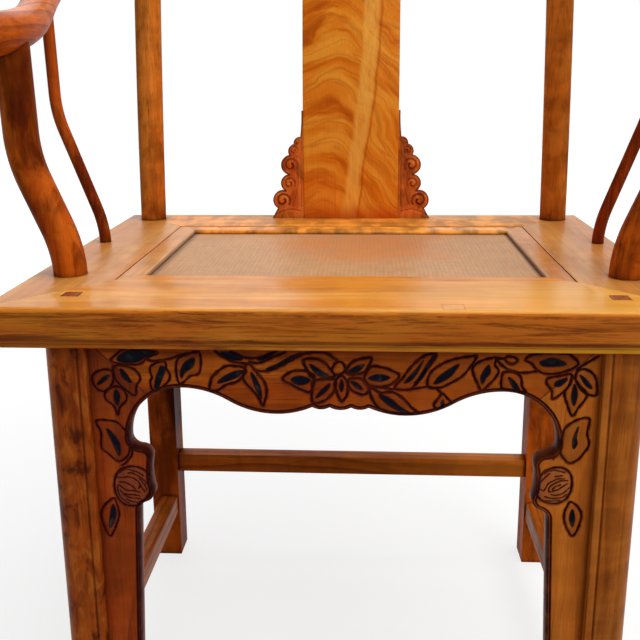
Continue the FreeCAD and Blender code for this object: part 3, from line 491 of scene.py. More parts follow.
def blotches_group():
    """Pale and dark patches, a little longer than wide."""
    group, t, entry, leave = mark_group(
        "Blotches", [("Vector", VECTOR), ("Pale", RGBA), ("Dark", RGBA), ("Share", FLOAT)])
    patch = t.noise(entry["Vector"], 56, 3, 0.6, 0.5, (1, 1, 0.5))
    tint = t.mix(t.rise(patch, 0.50, 0.62, 0.0, entry["Share"]), entry["Color"], entry["Pale"])
    t.put(leave["Color"], t.mix(t.rise(patch, 0.47, 0.34, 0.0, entry["Share"]), tint, entry["Dark"]))
    return group


def outer_edge_group():
    """Streaked upright faces with a worn lip, a seam line that is partly painted shade, and a band under it
    with painted shade at the left and golden painted light at the right.
    """
    places = [(label, FLOAT) for label in ("Up", "Across", "Over Foot", "Under Top")]
    tints = [(label, RGBA) for label in ("Body", "Gold", "Red")]
    group, t, entry, leave = mark_group("Outer edge", [("Grain", VECTOR), *places, *tints])
    grain, across, over_foot, red = [entry[label] for label in ("Grain", "Across", "Over Foot", "Red")]
    upright = t.rise(entry["Up"], 0.8, 0.35)
    ruddy = t.rise(t.noise(grain, 130, 8, 0.74, 0.6, (0.06, 1, 1)), 0.47, 0.62)
    thin = t.rise(t.noise(grain, 300, 5, 0.7, 0.0, (0.05, 1, 1)), 0.50, 0.64, 0.0, 0.66)
    golden = t.rise(t.noise(grain, 24, 3, 0.5, 0.0, (0.2, 1, 1)), 0.45, 0.68)
    chip = t.rise(t.noise(grain, 75, 4, 0.7, 0.0, (0.3, 1, 1)), 0.42, 0.62, 0.1, 0.85)
    lip = t.close(entry["Under Top"], 0.0052, 0.0022, 0.0004)
    streaks = t.most(ruddy, thin, t.times(lip, chip))
    tint = t.mix(t.times(upright, 0.75), entry["Color"], t.mix(golden, entry["Body"], entry["Gold"]))
    tint = t.mix(t.times(upright, streaks, 0.78), tint, red)
    # a dark line at the seam, partly a dark joint and partly painted shade where the face steps back over
    # the band
    tint = t.mix(t.close(over_foot, 0.0078, 0.0026, 0.0010, 0.62), tint, red)
    band = t.times(t.rise(over_foot, 0.0068, 0.0052), t.rise(golden, 0.0, 1.0, 0.7, 1.0))
    # the band: darkened at the left with painted shade, lit at the right with painted light
    tint = t.mix(t.times(band, t.rise(across, -0.3, 0.0, 0.5, 0.0)), tint, red)
    t.put(leave["Color"], t.mix(t.times(band, t.rise(across, -0.1, 0.2, 0.0, 0.9)), tint, BAND_PAINTED_LIGHT))
    return group


def dusk_group():
    """Dark patches that come in between two heights."""
    heights = [(label, FLOAT) for label in ("Height", "Start", "Full")]
    group, t, entry, leave = mark_group("Dusk", [("Vector", VECTOR), *heights, ("Dark", RGBA)])
    patch = t.noise(entry["Vector"], 26, 4, 0.65, 0.5, (1, 1, 0.35))
    deep = t.times(t.rise(entry["Height"], entry["Start"], entry["Full"]), t.rise(patch, 0.40, 0.62), 0.75)
    t.put(leave["Color"], t.mix(deep, entry["Color"], entry["Dark"]))
    return group


def tenon_end_group():
    """End grain on what comes near a top."""
    group, t, entry, leave = mark_group("Tenon end", [("Vector", VECTOR), ("Under Top", FLOAT)])
    speckle = t.rise(t.noise(entry["Vector"], 420, 3), 0.42, 0.60)
    end = t.rise(entry["Under Top"], 0.0012, 0.0002, 0.0, 0.78)
    t.put(leave["Color"], t.mix(end, entry["Color"], t.mix(speckle, *END_GRAIN)))
    return group


def stain_group():
    """Stain in the carved lines, ink in the hollows with grey-green patches that are partly wear and partly
    painted highlights, and a grey that paints a highlight on the inner edges and lies faintly over the
    fruits, with the stain's roughness.
    """
    layers = [(label, FLOAT) for label in ("Stain", "Ink", "Grey_Mark", "Roughness")]
    tints = [(label, RGBA) for label in ("Line Color", "Ink Color", "Worn Color")]
    group, t, entry, leave = mark_group(
        "Carving stain", [("Vector", VECTOR), *layers, *tints], [("Roughness", FLOAT)])
    place, dye = entry["Vector"], entry["Stain"]
    speckle = t.times(t.rise(t.noise(place, 150, 3), 0.25, 0.5, 0.78, 1.0),
                      t.rise(t.noise(place, 46, 2), 0.32, 0.56, 0.55, 1.0))
    uneven = t.times(t.rise(dye, 0.38, 0.85), speckle)
    # grey-green patches in the ink: partly wear, partly painted highlights of the hollows
    wear_and_glint = t.rise(t.noise(place, 80, 2), 0.53, 0.74, 0.0, 0.42)
    # grey mark: a painted highlight on the inner edges, and a faint grey over the fruits
    tint = t.mix(t.times(entry["Grey_Mark"], 0.5), entry["Color"], GREY_MARK_TINT)
    tint = t.mix(t.rise(dye, 0.0, 0.45, 0.0, 0.7), tint, HALO)
    tint = t.mix(uneven, tint, entry["Line Color"])
    t.put(leave["Color"], t.mix(entry["Ink"], tint, t.mix(wear_and_glint, entry["Ink Color"], entry["Worn Color"])))
    t.put(leave["Roughness"], t.plus(entry["Roughness"], t.times(uneven, 0.25)))
    return group


# Builders of the shared groups, those that others use first
BUILDERS = {"inlay": inlay_group, "wood": wood_figure_group, "burl": burl_group, "course": rail_course_group,
            "fade": fade_group, "blotches": blotches_group, "outer edge": outer_edge_group,
            "dusk": dusk_group, "tenon end": tenon_end_group, "stain": stain_group}


# Wood

TURNS = {"X": (0, 0, 0), "Y": (0, 0, -math.pi / 2), "Z": (0, math.pi / 2, 0)}


def shader(name, coat=0.0, gloss=0.06):
    """New material: its tree, its principled shader and its object coordinates."""
    material = bpy.data.materials.new(name)
    material.use_nodes = True
    tree = Tree(material.node_tree)
    surface = next(n for n in material.node_tree.nodes if n.type == "BSDF_PRINCIPLED")
    surface.inputs["Coat Weight"].default_value = coat
    surface.inputs["Coat Roughness"].default_value = 0.28
    surface.inputs["Specular IOR Level"].default_value = gloss
    return material, tree, surface, tree.add("ShaderNodeTexCoord").outputs["Object"]


def surfaced(tree, surface, tint, rough, height, distance=0.00025, strength=0.5):
    """Gives a shader its colour, its roughness and a fine relief."""
    tree.put(surface.inputs["Base Color"], tint)
    tree.put(surface.inputs["Roughness"], rough)
    bump = tree.add("ShaderNodeBump", {"Height": height, "Distance": distance, "Strength": strength})
    tree.put(surface.inputs["Normal"], bump.outputs[0])


class Wood:
    """Wood finish with its grain along an axis or the rail, and marks that are laid over it in turn, among
    them painted light and shade.
    """

    def __init__(self, name, tones, grain, shift=(0, 0, 0), rings=60.0, figure=0.5, cloud=0.4, fleck=0.3,
                 curl=0.12, pore=0.45, course=False, gloss=0.06):
        self.material, self.tree, self.surface, self.place = shader(name, gloss=gloss)
        self.light, self.body, self.dark = tones
        vector = self.tree.group("course", {"Vector": self.place})["Vector"] if course else self.place
        turned = {"Vector": vector, "Location": shift, "Rotation": TURNS[grain]}
        self.grain = self.tree.add("ShaderNodeMapping", turned).outputs[0]
        cut = self.tree.group("wood", {
            "Vector": self.grain, "Light": self.light, "Body": self.body, "Dark": self.dark,
            "Ring Scale": rings, "Figure": figure, "Cloud": cloud, "Fleck": fleck, "Curl": curl,
            "Pore": pore})
        self.tint, self.rough, self.height = cut["Color"], cut["Roughness"], cut["Height"]
        self.x, self.y, self.z = self.tree.parts(self.place)
        self.up = self.tree.parts(self.tree.add("ShaderNodeNewGeometry").outputs["Normal"])["Z"]

    def mark(self, name, values):
        """Lays one of the shared marks over the wood."""
        marked = self.tree.group(name, {"Color": self.tint, **values})
        self.tint = marked["Color"]
        return marked

    def fade(self, value, start, full, share, tint):
        """A tint that comes in as a value goes from start to full."""
        self.mark("fade", {"Value": value, "Start": start, "Full": full, "Share": share, "Tint": tint})
        return self

    def blotches(self, share, pale=None):
        """Pale and dark patches."""
        tints = {"Pale": pale or self.light, "Dark": self.dark}
        self.mark("blotches", {"Vector": self.place, "Share": share, **tints})
        return self

    def painted_light_at_right(self, left, right, share, tint):
        """Painted light: a lighter tint that comes in from left to right, where the lamps fall more
        strongly.
        """
        return self.fade(self.x, left, right, share, tint)

    def shade(self, start, full, share, tint):
        """A tint that comes in between two heights: painted shade where it is darker, painted light where it
        is lighter.
        """
        return self.fade(self.z, start, full, share, tint)

    def shade_downturned(self, share):
        """Painted shade on the faces that turn down from level."""
        return self.fade(self.up, 0.97, 0.55, share, DOWNTURN_SHADE)

    def sheen(self, share):
        """Polish on the faces that look up."""
        self.tree.put(self.surface.inputs["Coat Weight"], self.tree.rise(self.up, 0.5, 0.9, 0.0, share))
        return self

    def outer_edge(self, body, gold, red, low, high):
        """Worn outer edge of a seat rail that reaches from low to high, with painted shade at its seam and
        painted light on its band at the right.
        """
        heights = {"Over Foot": self.tree.minus(self.z, low), "Under Top": self.tree.minus(high, self.z)}
        tints = {"Body": body, "Gold": gold, "Red": red}
        self.mark("outer edge", {"Grain": self.grain, "Up": self.up, "Across": self.x, **heights, **tints})
        return self

    def repair(self, left, right, front, back):
        """A small piece let into the upper face."""
        tree = self.tree
        inset = tree.times(tree.rise(self.x, left, left + 0.0016), tree.rise(self.x, right, right - 0.0016),
                           tree.rise(self.y, front, front + 0.003), tree.rise(self.y, back, back - 0.003),
                           tree.rise(self.up, 0.9, 0.97))
        tints = {"Fill": self.light, "Dark": self.dark}
        self.mark("inlay", {"Inset": inset, "Share": 0.35, "Line": 1.7, **tints})
        return self

    def painted_shadow(self, edge, top):
        """Painted shadow to the right of a slanting line, which is at edge at the height of top."""
        tree = self.tree
        slant = tree.plus(self.x, tree.times(tree.minus(self.z, top), 0.14))
        shadowed = tree.times(tree.rise(slant, edge - 0.004, edge + 0.008),
                           tree.rise(self.z, top - 0.09, top - 0.045),
                           tree.rise(self.z, top + 0.12, top + 0.06, 0.0, 0.9))
        self.tint = tree.mix(shadowed, self.tint, PAINTED_SHADOW)
        return self

    def dusk(self, start, full):
        """Dark patches that come in between two heights."""
        heights = {"Height": self.z, "Start": start, "Full": full}
        self.mark("dusk", {"Vector": self.place, "Dark": self.dark, **heights})
        return self

    def tenon_ends(self, top):
        """End grain on what reaches a height."""
        self.mark("tenon end", {"Vector": self.place, "Under Top": self.tree.minus(top, self.z)})
        return self

    def stained(self, line, ink, worn):
        """Stain, ink and grey, as the carved points carry them."""
        layers = {name.title(): self.tree.attribute(name) for name in LAYERS}
        tints = {"Line Color": line, "Ink Color": ink, "Worn Color": worn}
        marked = self.mark("stain", {"Vector": self.place, "Roughness": self.rough, **layers, **tints})
        self.rough = marked["Roughness"]

    def done(self, corner_shade=0.75, stain=None):
        """The finished material, with painted shade darkening its corners and then the colours of its
        carving.
        """
        # painted shade: darker where ambient occlusion finds corners and crevices
        shelter = self.tree.add("ShaderNodeAmbientOcclusion", {"Distance": 0.010}, samples=6).outputs["AO"]
        self.fade(shelter, 0.80, 0.38, corner_shade, PAINTED_CORNER_SHADE)
        if stain:
            self.stained(*stain)
        surfaced(self.tree, self.surface, self.tint, self.rough, self.height)
        return self.material


# Carving

# Layers of the carved points: stain of the lines, which also paints shade along the spandrels' rims, ink of
# the hollows, and a grey mark that paints a highlight on the inner edges and lies faintly over the fruits
LAYERS = ("stain", "ink", "grey_mark")
# Carved points, in pitches: their spacing along the rim, that of their rows, and how near the rim they come
RIM_STEP, ROW_STEP, RIM_GAP = 1.6, 0.87, 0.45
# How far to the front a face has to look to be carved
FRONT_FACING = -0.95
# How near a line, a mitre or a joint a place has to be to count as on it
ON_LINE, ON_MITRE, ON_JOINT = 0.0006, 0.0008, 0.0005
# Stain of the inner edge behind a carved face, and the grey that paints a highlight on it
EDGE_STAIN, EDGE_HIGHLIGHT = 0.15, 1.0


def on_face(u, v, face_y):
    """Point on an upright face at face_y that the view shows at a place in its picture."""
    across, down = (u - VIEW_WIDTH / 2) / VIEW_FOCAL, (VIEW_WIDTH / 2 - v) / VIEW_FOCAL
    ray = VIEW_TURN.to_3x3() @ Vector((across, down, -1))
    point = VIEW_PLACE + ray * ((face_y - VIEW_PLACE.y) / ray.y)
    return point.x, point.z


def flowing(points, closed, steps=5):
    """Smooth line through drawn points."""
    points = np.array(points, float)
    count = len(points)
    line = []
    for i in range(count if closed else count - 1):
        before, start = points[i - 1 if closed or i else 0], points[i]
        end, after = points[(i + 1) % count], points[(i + 2) % count if closed else min(i + 2, count - 1)]
        bend, twist = 2 * before - 5 * start + 4 * end - after, 3 * start - before - 3 * end + after
        for t in np.arange(steps) / steps:
            line.append(0.5 * (2 * start + (end - before) * t + bend * t ** 2 + twist * t ** 3))
    line.append(points[0] if closed else points[-1])
    return np.array(line)


def pairs(line):
    """Segments of a line."""
    return zip(line[:-1], line[1:])


def distance_to(line, points):
    """Shortest distance from each point to a line."""
    best = np.full(len(points), 1e9)
    for start, end in pairs(line):
        step = end - start
        share = np.clip(((points - start) @ step) / max(step @ step, 1e-14), 0, 1)
        best = np.minimum(best, ((points - start - share[:, None] * step) ** 2).sum(1))
    return np.sqrt(best)


def within(segments, points):
    """Which points the segments of a closed line go round."""
    inside = np.zeros(len(points), bool)
    for (x0, z0), (x1, z1) in segments:
        if z0 != z1:
            crosses = (points[:, 1] > z0) != (points[:, 1] > z1)
            inside ^= crosses & (points[:, 0] < (x1 - x0) * (points[:, 1] - z0) / (z1 - z0) + x0)
    return inside


def soft_step(value):
    """Smooth rise from 0 to 1."""
    value = np.clip(value, 0, 1)
    return value * value * (3 - 2 * value)


# Drawing sheets of the apron: where a sheet's corner lies in the picture, and its scale
SHEETS = {"left": (85, 345, 8), "middle": (200, 345, 7), "right": (380, 345, 7)}

# Width of the incised lines on each sheet, as a share of the full groove
STROKES = {"left": 0.9, "middle": 1.12, "right": 1.0}

# Leaves and petals of each sheet: outline, stained hollow
LEAVES = {
    "left": [
        ([(205, 120), (262, 62), (330, 30), (575, 55), (500, 100), (440, 150), (330, 157), (240, 142)],
         [(258, 116), (300, 66), (400, 44), (555, 56), (470, 104), (420, 134), (320, 140)]),
        ([(205, 205), (130, 200), (65, 235), (55, 290), (90, 350), (150, 370), (205, 330), (225, 270)],
         [(195, 240), (150, 255), (100, 310), (130, 305), (175, 270)]),
        ([(225, 175), (290, 165), (390, 195), (440, 260), (410, 330), (400, 405), (330, 365), (260, 300),
          (230, 240)],
         [(285, 190), (330, 225), (368, 290), (350, 292), (300, 250)]),
        ([(250, 330), (160, 380), (170, 440), (230, 490), (260, 562), (278, 500), (330, 440), (320, 380)],
         [(250, 355), (275, 390), (275, 440), (262, 480), (240, 440), (235, 390)]),
        ([(632, 130), (530, 165), (520, 210), (535, 260), (520, 300), (548, 365), (640, 320), (680, 250),
          (650, 190)],
         [(610, 165), (640, 200), (610, 280), (590, 330), (560, 340), (570, 260), (590, 210)]),
        ([(912, 55), (920, 200), (890, 240), (840, 250), (762, 312), (730, 240), (735, 120), (790, 85)],
         [(875, 105), (860, 170), (800, 215), (775, 260), (765, 215), (790, 150), (830, 115)]),
        ([(85, 610), (190, 605), (260, 625), (320, 690), (350, 760), (355, 840), (330, 900), (260, 930),
          (180, 865), (130, 820), (125, 700)],
         [(175, 670), (220, 700), (280, 790), (275, 880), (215, 760)]),
        ([(228, 1225), (150, 1290), (125, 1360), (150, 1450), (200, 1530), (250, 1440), (272, 1350),
          (255, 1275)],
         [(225, 1270), (250, 1340), (225, 1430), (200, 1450), (205, 1350)]),
    ],
    "middle": [
        ([(315, 165), (200, 145), (130, 180), (80, 235), (68, 312), (120, 320), (180, 280), (250, 260),
          (295, 225)],
         [(295, 180), (240, 185), (160, 225), (125, 262), (160, 258), (230, 235), (275, 210)]),
        ([(332, 130), (400, 200), (450, 260), (465, 330), (440, 425), (400, 360), (340, 290), (300, 230)],
         [(355, 190), (390, 225), (422, 300), (430, 375), (405, 330), (375, 260)]),
        ([(725, 105), (800, 95), (870, 125), (920, 180), (938, 222), (870, 235), (800, 240), (745, 170)],
         [(770, 135), (820, 160), (900, 215), (860, 220), (810, 195)]),
        ([(578, 240), (630, 190), (720, 180), (790, 205), (800, 240), (790, 280), (770, 330), (720, 320),
          (640, 280)],
         [(640, 240), (690, 215), (772, 240), (740, 270), (690, 275), (655, 260)]),
        ([(935, 240), (800, 250), (785, 300), (788, 402), (860, 395), (920, 350), (945, 290)],
         [(908, 268), (900, 300), (860, 340), (812, 368), (840, 325), (870, 295)]),
        ([(985, 215), (945, 260), (950, 320), (970, 370), (990, 398), (1020, 365), (1035, 310), (1025, 250)],
         [(990, 240), (1005, 280), (990, 325), (978, 290)]),
        ([(1040, 240), (1110, 235), (1160, 265), (1182, 322), (1140, 350), (1080, 330), (1045, 300)],
         [(1055, 255), (1100, 265), (1138, 308), (1100, 300)]),
        ([(1150, 235), (1170, 180), (1210, 150), (1300, 165), (1392, 212), (1340, 275), (1260, 295),
          (1180, 280)],
         [(1180, 232), (1250, 205), (1328, 226), (1260, 252)]),
        ([(1030, 165), (1080, 110), (1192, 88), (1185, 140), (1150, 190), (1070, 210), (1020, 195)],
         [(1040, 185), (1090, 150), (1147, 138), (1110, 180), (1075, 195)]),
        ([(1185, 300), (1260, 335), (1340, 330), (1420, 375), (1480, 440), (1532, 488), (1430, 486),
          (1330, 476), (1250, 438), (1205, 380)],
         [(1252, 348), (1330, 372), (1400, 430), (1472, 478), (1400, 460), (1310, 412)]),
    ],
    "right": [
        ([(100, 305), (160, 230), (220, 150), (310, 75), (395, 62), (360, 130), (300, 205), (260, 262),
          (205, 312)],
         [(172, 263), (200, 225), (270, 150), (302, 108), (260, 190), (215, 245)]),
        ([(330, 270), (350, 200), (420, 140), (520, 100), (640, 78), (675, 84), (620, 170), (560, 230),
          (480, 275), (420, 300), (350, 295)],
         [(378, 267), (430, 205), (550, 133), (500, 210), (430, 255)]),
        ([(375, 425), (410, 370), (440, 343), (480, 385), (502, 410), (470, 442), (410, 452)],
         [(428, 410), (440, 383), (447, 420), (432, 442)]),
        ([(808, 88), (700, 115), (650, 160), (655, 210), (680, 270), (710, 322), (770, 270), (815, 220),
          (830, 180), (805, 140)],
         [(760, 140), (770, 190), (740, 230), (715, 270), (705, 225), (725, 180)]),
        ([(870, 190), (960, 200), (990, 240), (995, 290), (1022, 337), (950, 330), (880, 310), (852, 300),
          (850, 240)],
         [(900, 225), (950, 265), (977, 322), (935, 300), (915, 265)]),
        ([(1018, 105), (1060, 70), (1150, 58), (1300, 58), (1360, 90), (1390, 130), (1350, 165), (1250, 200),
          (1150, 200), (1100, 175), (1060, 130)],
         [(1118, 120), (1180, 95), (1230, 95), (1302, 130), (1240, 145), (1150, 145)]),
        ([(1342, 208), (1250, 220), (1175, 235), (1165, 270), (1200, 320), (1208, 382), (1270, 340),
          (1320, 290)],
         [(1310, 235), (1240, 250), (1220, 280), (1260, 285)]),
        ([(1350, 228), (1320, 290), (1290, 340), (1310, 420), (1345, 498), (1390, 440), (1430, 390),
          (1450, 345), (1400, 290)],
         [(1360, 275), (1377, 320), (1375, 370), (1355, 420), (1340, 360)]),
        ([(1378, 188), (1430, 170), (1490, 200), (1520, 260), (1516, 352), (1440, 340), (1390, 290),
          (1370, 240)],
         [(1400, 210), (1450, 250), (1482, 302), (1440, 280)]),
        ([(1467, 518), (1380, 525), (1300, 580), (1275, 640), (1265, 700), (1260, 750), (1290, 800),
          (1330, 830), (1390, 800), (1440, 740), (1465, 690), (1450, 620)],
         [(1387, 572), (1372, 640), (1377, 690), (1353, 722), (1350, 660)]),
        ([(1335, 1100), (1290, 1180), (1295, 1260), (1345, 1340), (1395, 1260), (1405, 1170)],
         [(1345, 1150), (1360, 1210), (1345, 1270), (1325, 1210)]),
    ],
}

# Incised lines of each sheet
LINES = {
    "left": [
        [(480, 115), (560, 128), (680, 110), (780, 75), (912, 52)],
        [(345, 745), (368, 800), (376, 860), (350, 920), (300, 962)],
        [(400, 828), (450, 842), (508, 888), (532, 960)],
    ],
    "middle": [
        [(105, 42), (180, 95), (250, 122), (322, 130)],
        [(215, 45), (260, 65), (330, 92), (420, 85), (480, 62), (535, 42)],
        [(345, 118), (400, 128), (460, 110), (520, 80), (592, 52)],
        [(385, 182), (470, 183), (560, 150), (650, 100), (740, 58), (860, 50), (930, 85), (962, 112)],
    ],
    "right": [
        [(0, 300), (100, 310), (200, 315), (280, 300), (340, 292)],
        [(345, 300), (400, 312), (432, 345)],
        [(808, 90), (850, 140), (920, 182), (1000, 195), (1100, 185)],
        [(810, 92), (870, 95), (900, 80), (950, 90), (960, 115), (930, 135), (895, 125), (872, 98)],
        [(1532, 78), (1450, 125), (1382, 172)],
        [(1215, 795), (1262, 755)],
    ],
}

# Places of each sheet that are stained all over
DARK_FILLS = {
    "middle": [
        [(140, 52), (200, 52), (282, 78), (290, 102), (240, 106), (180, 86)],
        [(400, 98), (470, 72), (528, 48), (480, 85), (430, 105)],
        [(470, 165), (550, 130), (640, 78), (712, 55), (640, 100), (560, 148), (480, 180)],
    ],
    "right": [
        [(240, 270), (280, 215), (332, 128), (378, 74), (332, 170), (292, 235)],
    ],
}

# Fruit of a sheet: outline, and the lines that run over the skin
FRUITS = {
    "left": (
        [(238, 1075), (270, 1010), (350, 975), (440, 985), (510, 1040), (528, 1110), (505, 1200),
         (440, 1275), (350, 1285), (280, 1250), (240, 1170)],
        [[(272, 1026), (316, 996), (368, 1002), (420, 1016), (464, 1044)],
         [(256, 1060), (312, 1056), (356, 1052), (396, 1068), (428, 1092), (442, 1120), (430, 1144)],
         [(280, 1092), (320, 1096), (356, 1112), (384, 1132), (408, 1152)],
         [(264, 1116), (296, 1132), (324, 1154), (356, 1162), (400, 1164), (440, 1176)],
         [(440, 1068), (464, 1096), (484, 1128), (494, 1160)],
         [(448, 1124), (464, 1148), (480, 1172)],
         [(284, 1160), (316, 1196), (360, 1216), (408, 1222), (444, 1230)],
         [(332, 1232), (372, 1248), (420, 1262), (448, 1272)],
         [(256, 1128), (266, 1176), (286, 1216), (316, 1244), (352, 1268)],
         [(304, 1184), (344, 1192), (392, 1196), (440, 1204)],
         [(344, 1024), (376, 1022), (412, 1036), (444, 1056), (472, 1080), (492, 1112)]]
    ),
    "right": (
        [(1108, 955), (1150, 890), (1230, 860), (1300, 872), (1340, 920), (1340, 1000), (1310, 1070),
         (1240, 1110), (1150, 1100), (1098, 1045)],
        [[(1221, 920), (1246, 917), (1274, 913)],
         [(1113, 973), (1134, 949), (1158, 924), (1186, 900)],
         [(1106, 1004), (1141, 1018), (1158, 998), (1180, 966), (1211, 949), (1246, 934), (1288, 934)],
         [(1180, 1026), (1180, 1001), (1200, 980), (1232, 962), (1267, 948), (1309, 948)],
         [(1183, 1029), (1218, 1018), (1246, 1010), (1274, 990), (1309, 970)],
         [(1204, 1008), (1225, 990), (1260, 976)],
         [(1190, 1043), (1225, 1050), (1260, 1043), (1295, 1026), (1323, 1001)],
         [(1152, 1060), (1190, 1070), (1232, 1072), (1274, 1066), (1309, 1046)],
         [(1155, 1092), (1190, 1092), (1225, 1091), (1260, 1088)],
         [(1150, 906), (1184, 885), (1238, 880), (1292, 894)]]
    ),
}

# Knob in the middle sheet
KNOB = [(945, 130), (985, 120), (1012, 150), (1005, 190), (960, 212), (922, 180)]


# Roundings, in metres, and lifts, as shares of the leaf lift, of what stands out of the apron
LEAF_ROUNDING, FRUIT_ROUNDING, KNOB_ROUNDING = 0.0036, 0.008, 0.004
FRUIT_LIFT, KNOB_LIFT = 1.4, 1.2
# Light stain over the leaves, and stain and grey over the fruits
LEAF_STAIN, FRUIT_STAIN, FRUIT_GREY = 0.19, 0.2, 0.2
# Widths over which a hollow sinks, its ink ends and its stain ends
HOLLOW_SLOPE, INK_EDGE, STAIN_EDGE = 0.0014, 0.0008, 0.0010
# Width, depth and stain of thin lines, as shares of a full groove
FRUIT_STRIPE = (0.62, 0.8, 0.68)
MITRE_LINE = (0.6, 0.4, 0.42)
STEM_LINE = (1.0, 0.6, 0.14)


def on_apron(sheet, points, face_y, closed=True):
    """A drawn line on the apron's face, in metres."""
    u, v, scale = SHEETS[sheet]
    return flowing([on_face(u + x / scale, v + y / scale, face_y) for x, y in points], closed)


def at_least(layer, values, pick=slice(None)):
    """Brings picked points of a layer up to some values."""
    layer[pick] = np.maximum(layer[pick], values)


class Carving:
    """Height and stain of the carved points of a face."""

    def __init__(self, points, sizes):
        self.points = points
        self.sizes = sizes
        self.groove, self.core, self.lift, self.dye, self.ink, self.grey_mark = np.zeros((6, len(points)))

    def near(self, line, margin=0.005):
        """Points in and round the box of a line."""
        low, high = line.min(0) - margin, line.max(0) + margin
        return np.nonzero(((self.points > low) & (self.points < high)).all(1))[0]

    def reach(self, segments, margin):
        """Distance of the points from the nearest segment within a margin, or 1."""
        reach = np.full(len(self.points), 1.0)
        for segment in segments:
            pick = self.near(segment, margin)
            reach[pick] = np.minimum(reach[pick], distance_to(segment, self.points[pick]))
        return reach

    def around(self, outline):
        """Points near an outline, which of them it goes round, and how far they are from it."""
        pick = self.near(outline)
        return pick, within(pairs(outline), self.points[pick]), distance_to(outline, self.points[pick])

    def incise(self, line, width=1.0, depth=1.0, dye=1.0):
        """Cuts a line with a slightly uneven hand, width and depth as shares of a full groove."""
        pick = self.near(line)
        x, z = self.points[pick].T
        hand = 1 + 0.16 * np.sin(700 * x + 310 * z) + 0.12 * np.sin(290 * x - 830 * z + 1.7)
        reach = distance_to(line, self.points[pick]) / (self.sizes.groove_width * width * hand)
        at_least(self.groove, depth * np.clip(1 - reach ** 2, 0, 1), pick)
        bleed = np.maximum(soft_step((1.05 - reach) / 0.5), 0.32 * soft_step((2.4 - reach) / 1.4))
        at_least(self.dye, dye * bleed, pick)

    def raise_leaf(self, outline, lift=1.0, rounding=LEAF_ROUNDING):
        """Lifts what an outline goes round, rounded down to the outline."""
        pick, inside, rim = self.around(outline)
        at_least(self.lift, lift * inside * soft_step(rim / rounding), pick)

    def hollow(self, outline):
        """Cuts and inks what an outline goes round."""
        pick, inside, rim = self.around(outline)
        signed = np.where(inside, rim, -rim)
        at_least(self.core, soft_step(signed / HOLLOW_SLOPE), pick)
        at_least(self.ink, soft_step(signed / INK_EDGE + 0.5), pick)
        at_least(self.dye, soft_step(signed / STAIN_EDGE + 1.2), pick)

    def cover(self, layer, outline, share):
        """Lays a share of stain or grey on what an outline goes round."""
        pick, inside, _ = self.around(outline)
        at_least(layer, share * inside, pick)

    def height(self):
        """Height over the plain face."""
        cut = np.maximum(self.groove * self.sizes.groove_depth, self.core * self.sizes.core_depth)
        return self.lift * self.sizes.leaf_lift * (1 - self.groove) - cut


def carve_apron(carving, face_y):
    """Cuts the vine of leaves, flowers and fruits into the apron's face."""
    for sheet, leaves in LEAVES.items():
        for outline, hollow in leaves:
            edge = on_apron(sheet, outline, face_y)
            carving.raise_leaf(edge)
            carving.incise(edge, STROKES[sheet])
            carving.cover(carving.dye, edge, LEAF_STAIN)
            carving.hollow(on_apron(sheet, hollow, face_y))
    for sheet, lines in LINES.items():
        for line in lines:
            carving.incise(on_apron(sheet, line, face_y, closed=False), STROKES[sheet])
    for sheet, outlines in DARK_FILLS.items():
        for outline in outlines:
            carving.hollow(on_apron(sheet, outline, face_y))
    for sheet, (outline, stripes) in FRUITS.items():
        edge = on_apron(sheet, outline, face_y)
        carving.raise_leaf(edge, FRUIT_LIFT, FRUIT_ROUNDING)
        carving.incise(edge)
        carving.cover(carving.dye, edge, FRUIT_STAIN)
        carving.cover(carving.grey_mark, edge, FRUIT_GREY)
        for stripe in stripes:
            carving.incise(on_apron(sheet, stripe, face_y, closed=False), *FRUIT_STRIPE)
    edge = on_apron("middle", KNOB, face_y)
    carving.raise_leaf(edge, KNOB_LIFT, KNOB_ROUNDING)
    carving.incise(edge)


def bead(carving, kinds):
    """Rounds a carved face's free edge into a bead with a stained groove behind it, and breaks the mitre."""
    width = carving.sizes.bead_width
    groove_middle, groove_half, rim_bleed = width + 0.0004, 0.0011, 0.0015
    reach = carving.reach(kinds["free"], margin=0.008)
    share = np.clip(reach / width, 0, 1)
    round_off = 1 - np.sqrt(np.clip(1 - (2 * share - 1) ** 2, 0, 1))
    at_least(carving.groove, np.where(reach < width, round_off, 0))
    behind = np.abs(reach - groove_middle) / groove_half
    at_least(carving.groove, np.clip(1 - behind ** 2, 0, 1))
    at_least(carving.dye, 0.95 * soft_step(1.3 - behind))
    at_least(carving.dye, soft_step(1.6 - reach / rim_bleed))
    for segment in kinds["mitre"]:
        carving.incise(segment, *MITRE_LINE)


# Scrolls of a spandrel: distance from the splat's edge, height over the seat, radius and stain of the curl
SCROLLS = [(0.0280, 0.0237, 0.0108, 0.40), (0.0189, 0.0458, 0.0086, 0.16), (0.0168, 0.0694, 0.0104, 0.22),
           (0.0122, 0.0880, 0.0056, 0.14), (0.0072, 0.0985, 0.0042, 0.10)]
# Stems of a spandrel, in the same terms
STEMS = [[(0.0400, 0.0020), (0.0300, 0.0085), (0.0170, 0.0115), (0.0050, 0.0090)],
         [(0.0150, 0.0160), (0.0110, 0.0300), (0.0080, 0.0440), (0.0070, 0.0560)],
         [(0.0040, 0.0150), (0.0035, 0.0400), (0.0035, 0.0650), (0.0030, 0.0900), (0.0018, 0.1120)]]


def spiral(centre, side, start, turn, first, last, count):
    """Points that turn round a centre while their radius goes from first to last."""
    angle = np.linspace(start, turn, count)
    radius = np.linspace(first, last, count)
    return centre + np.column_stack([side * np.cos(angle) * radius, np.sin(angle) * radius])


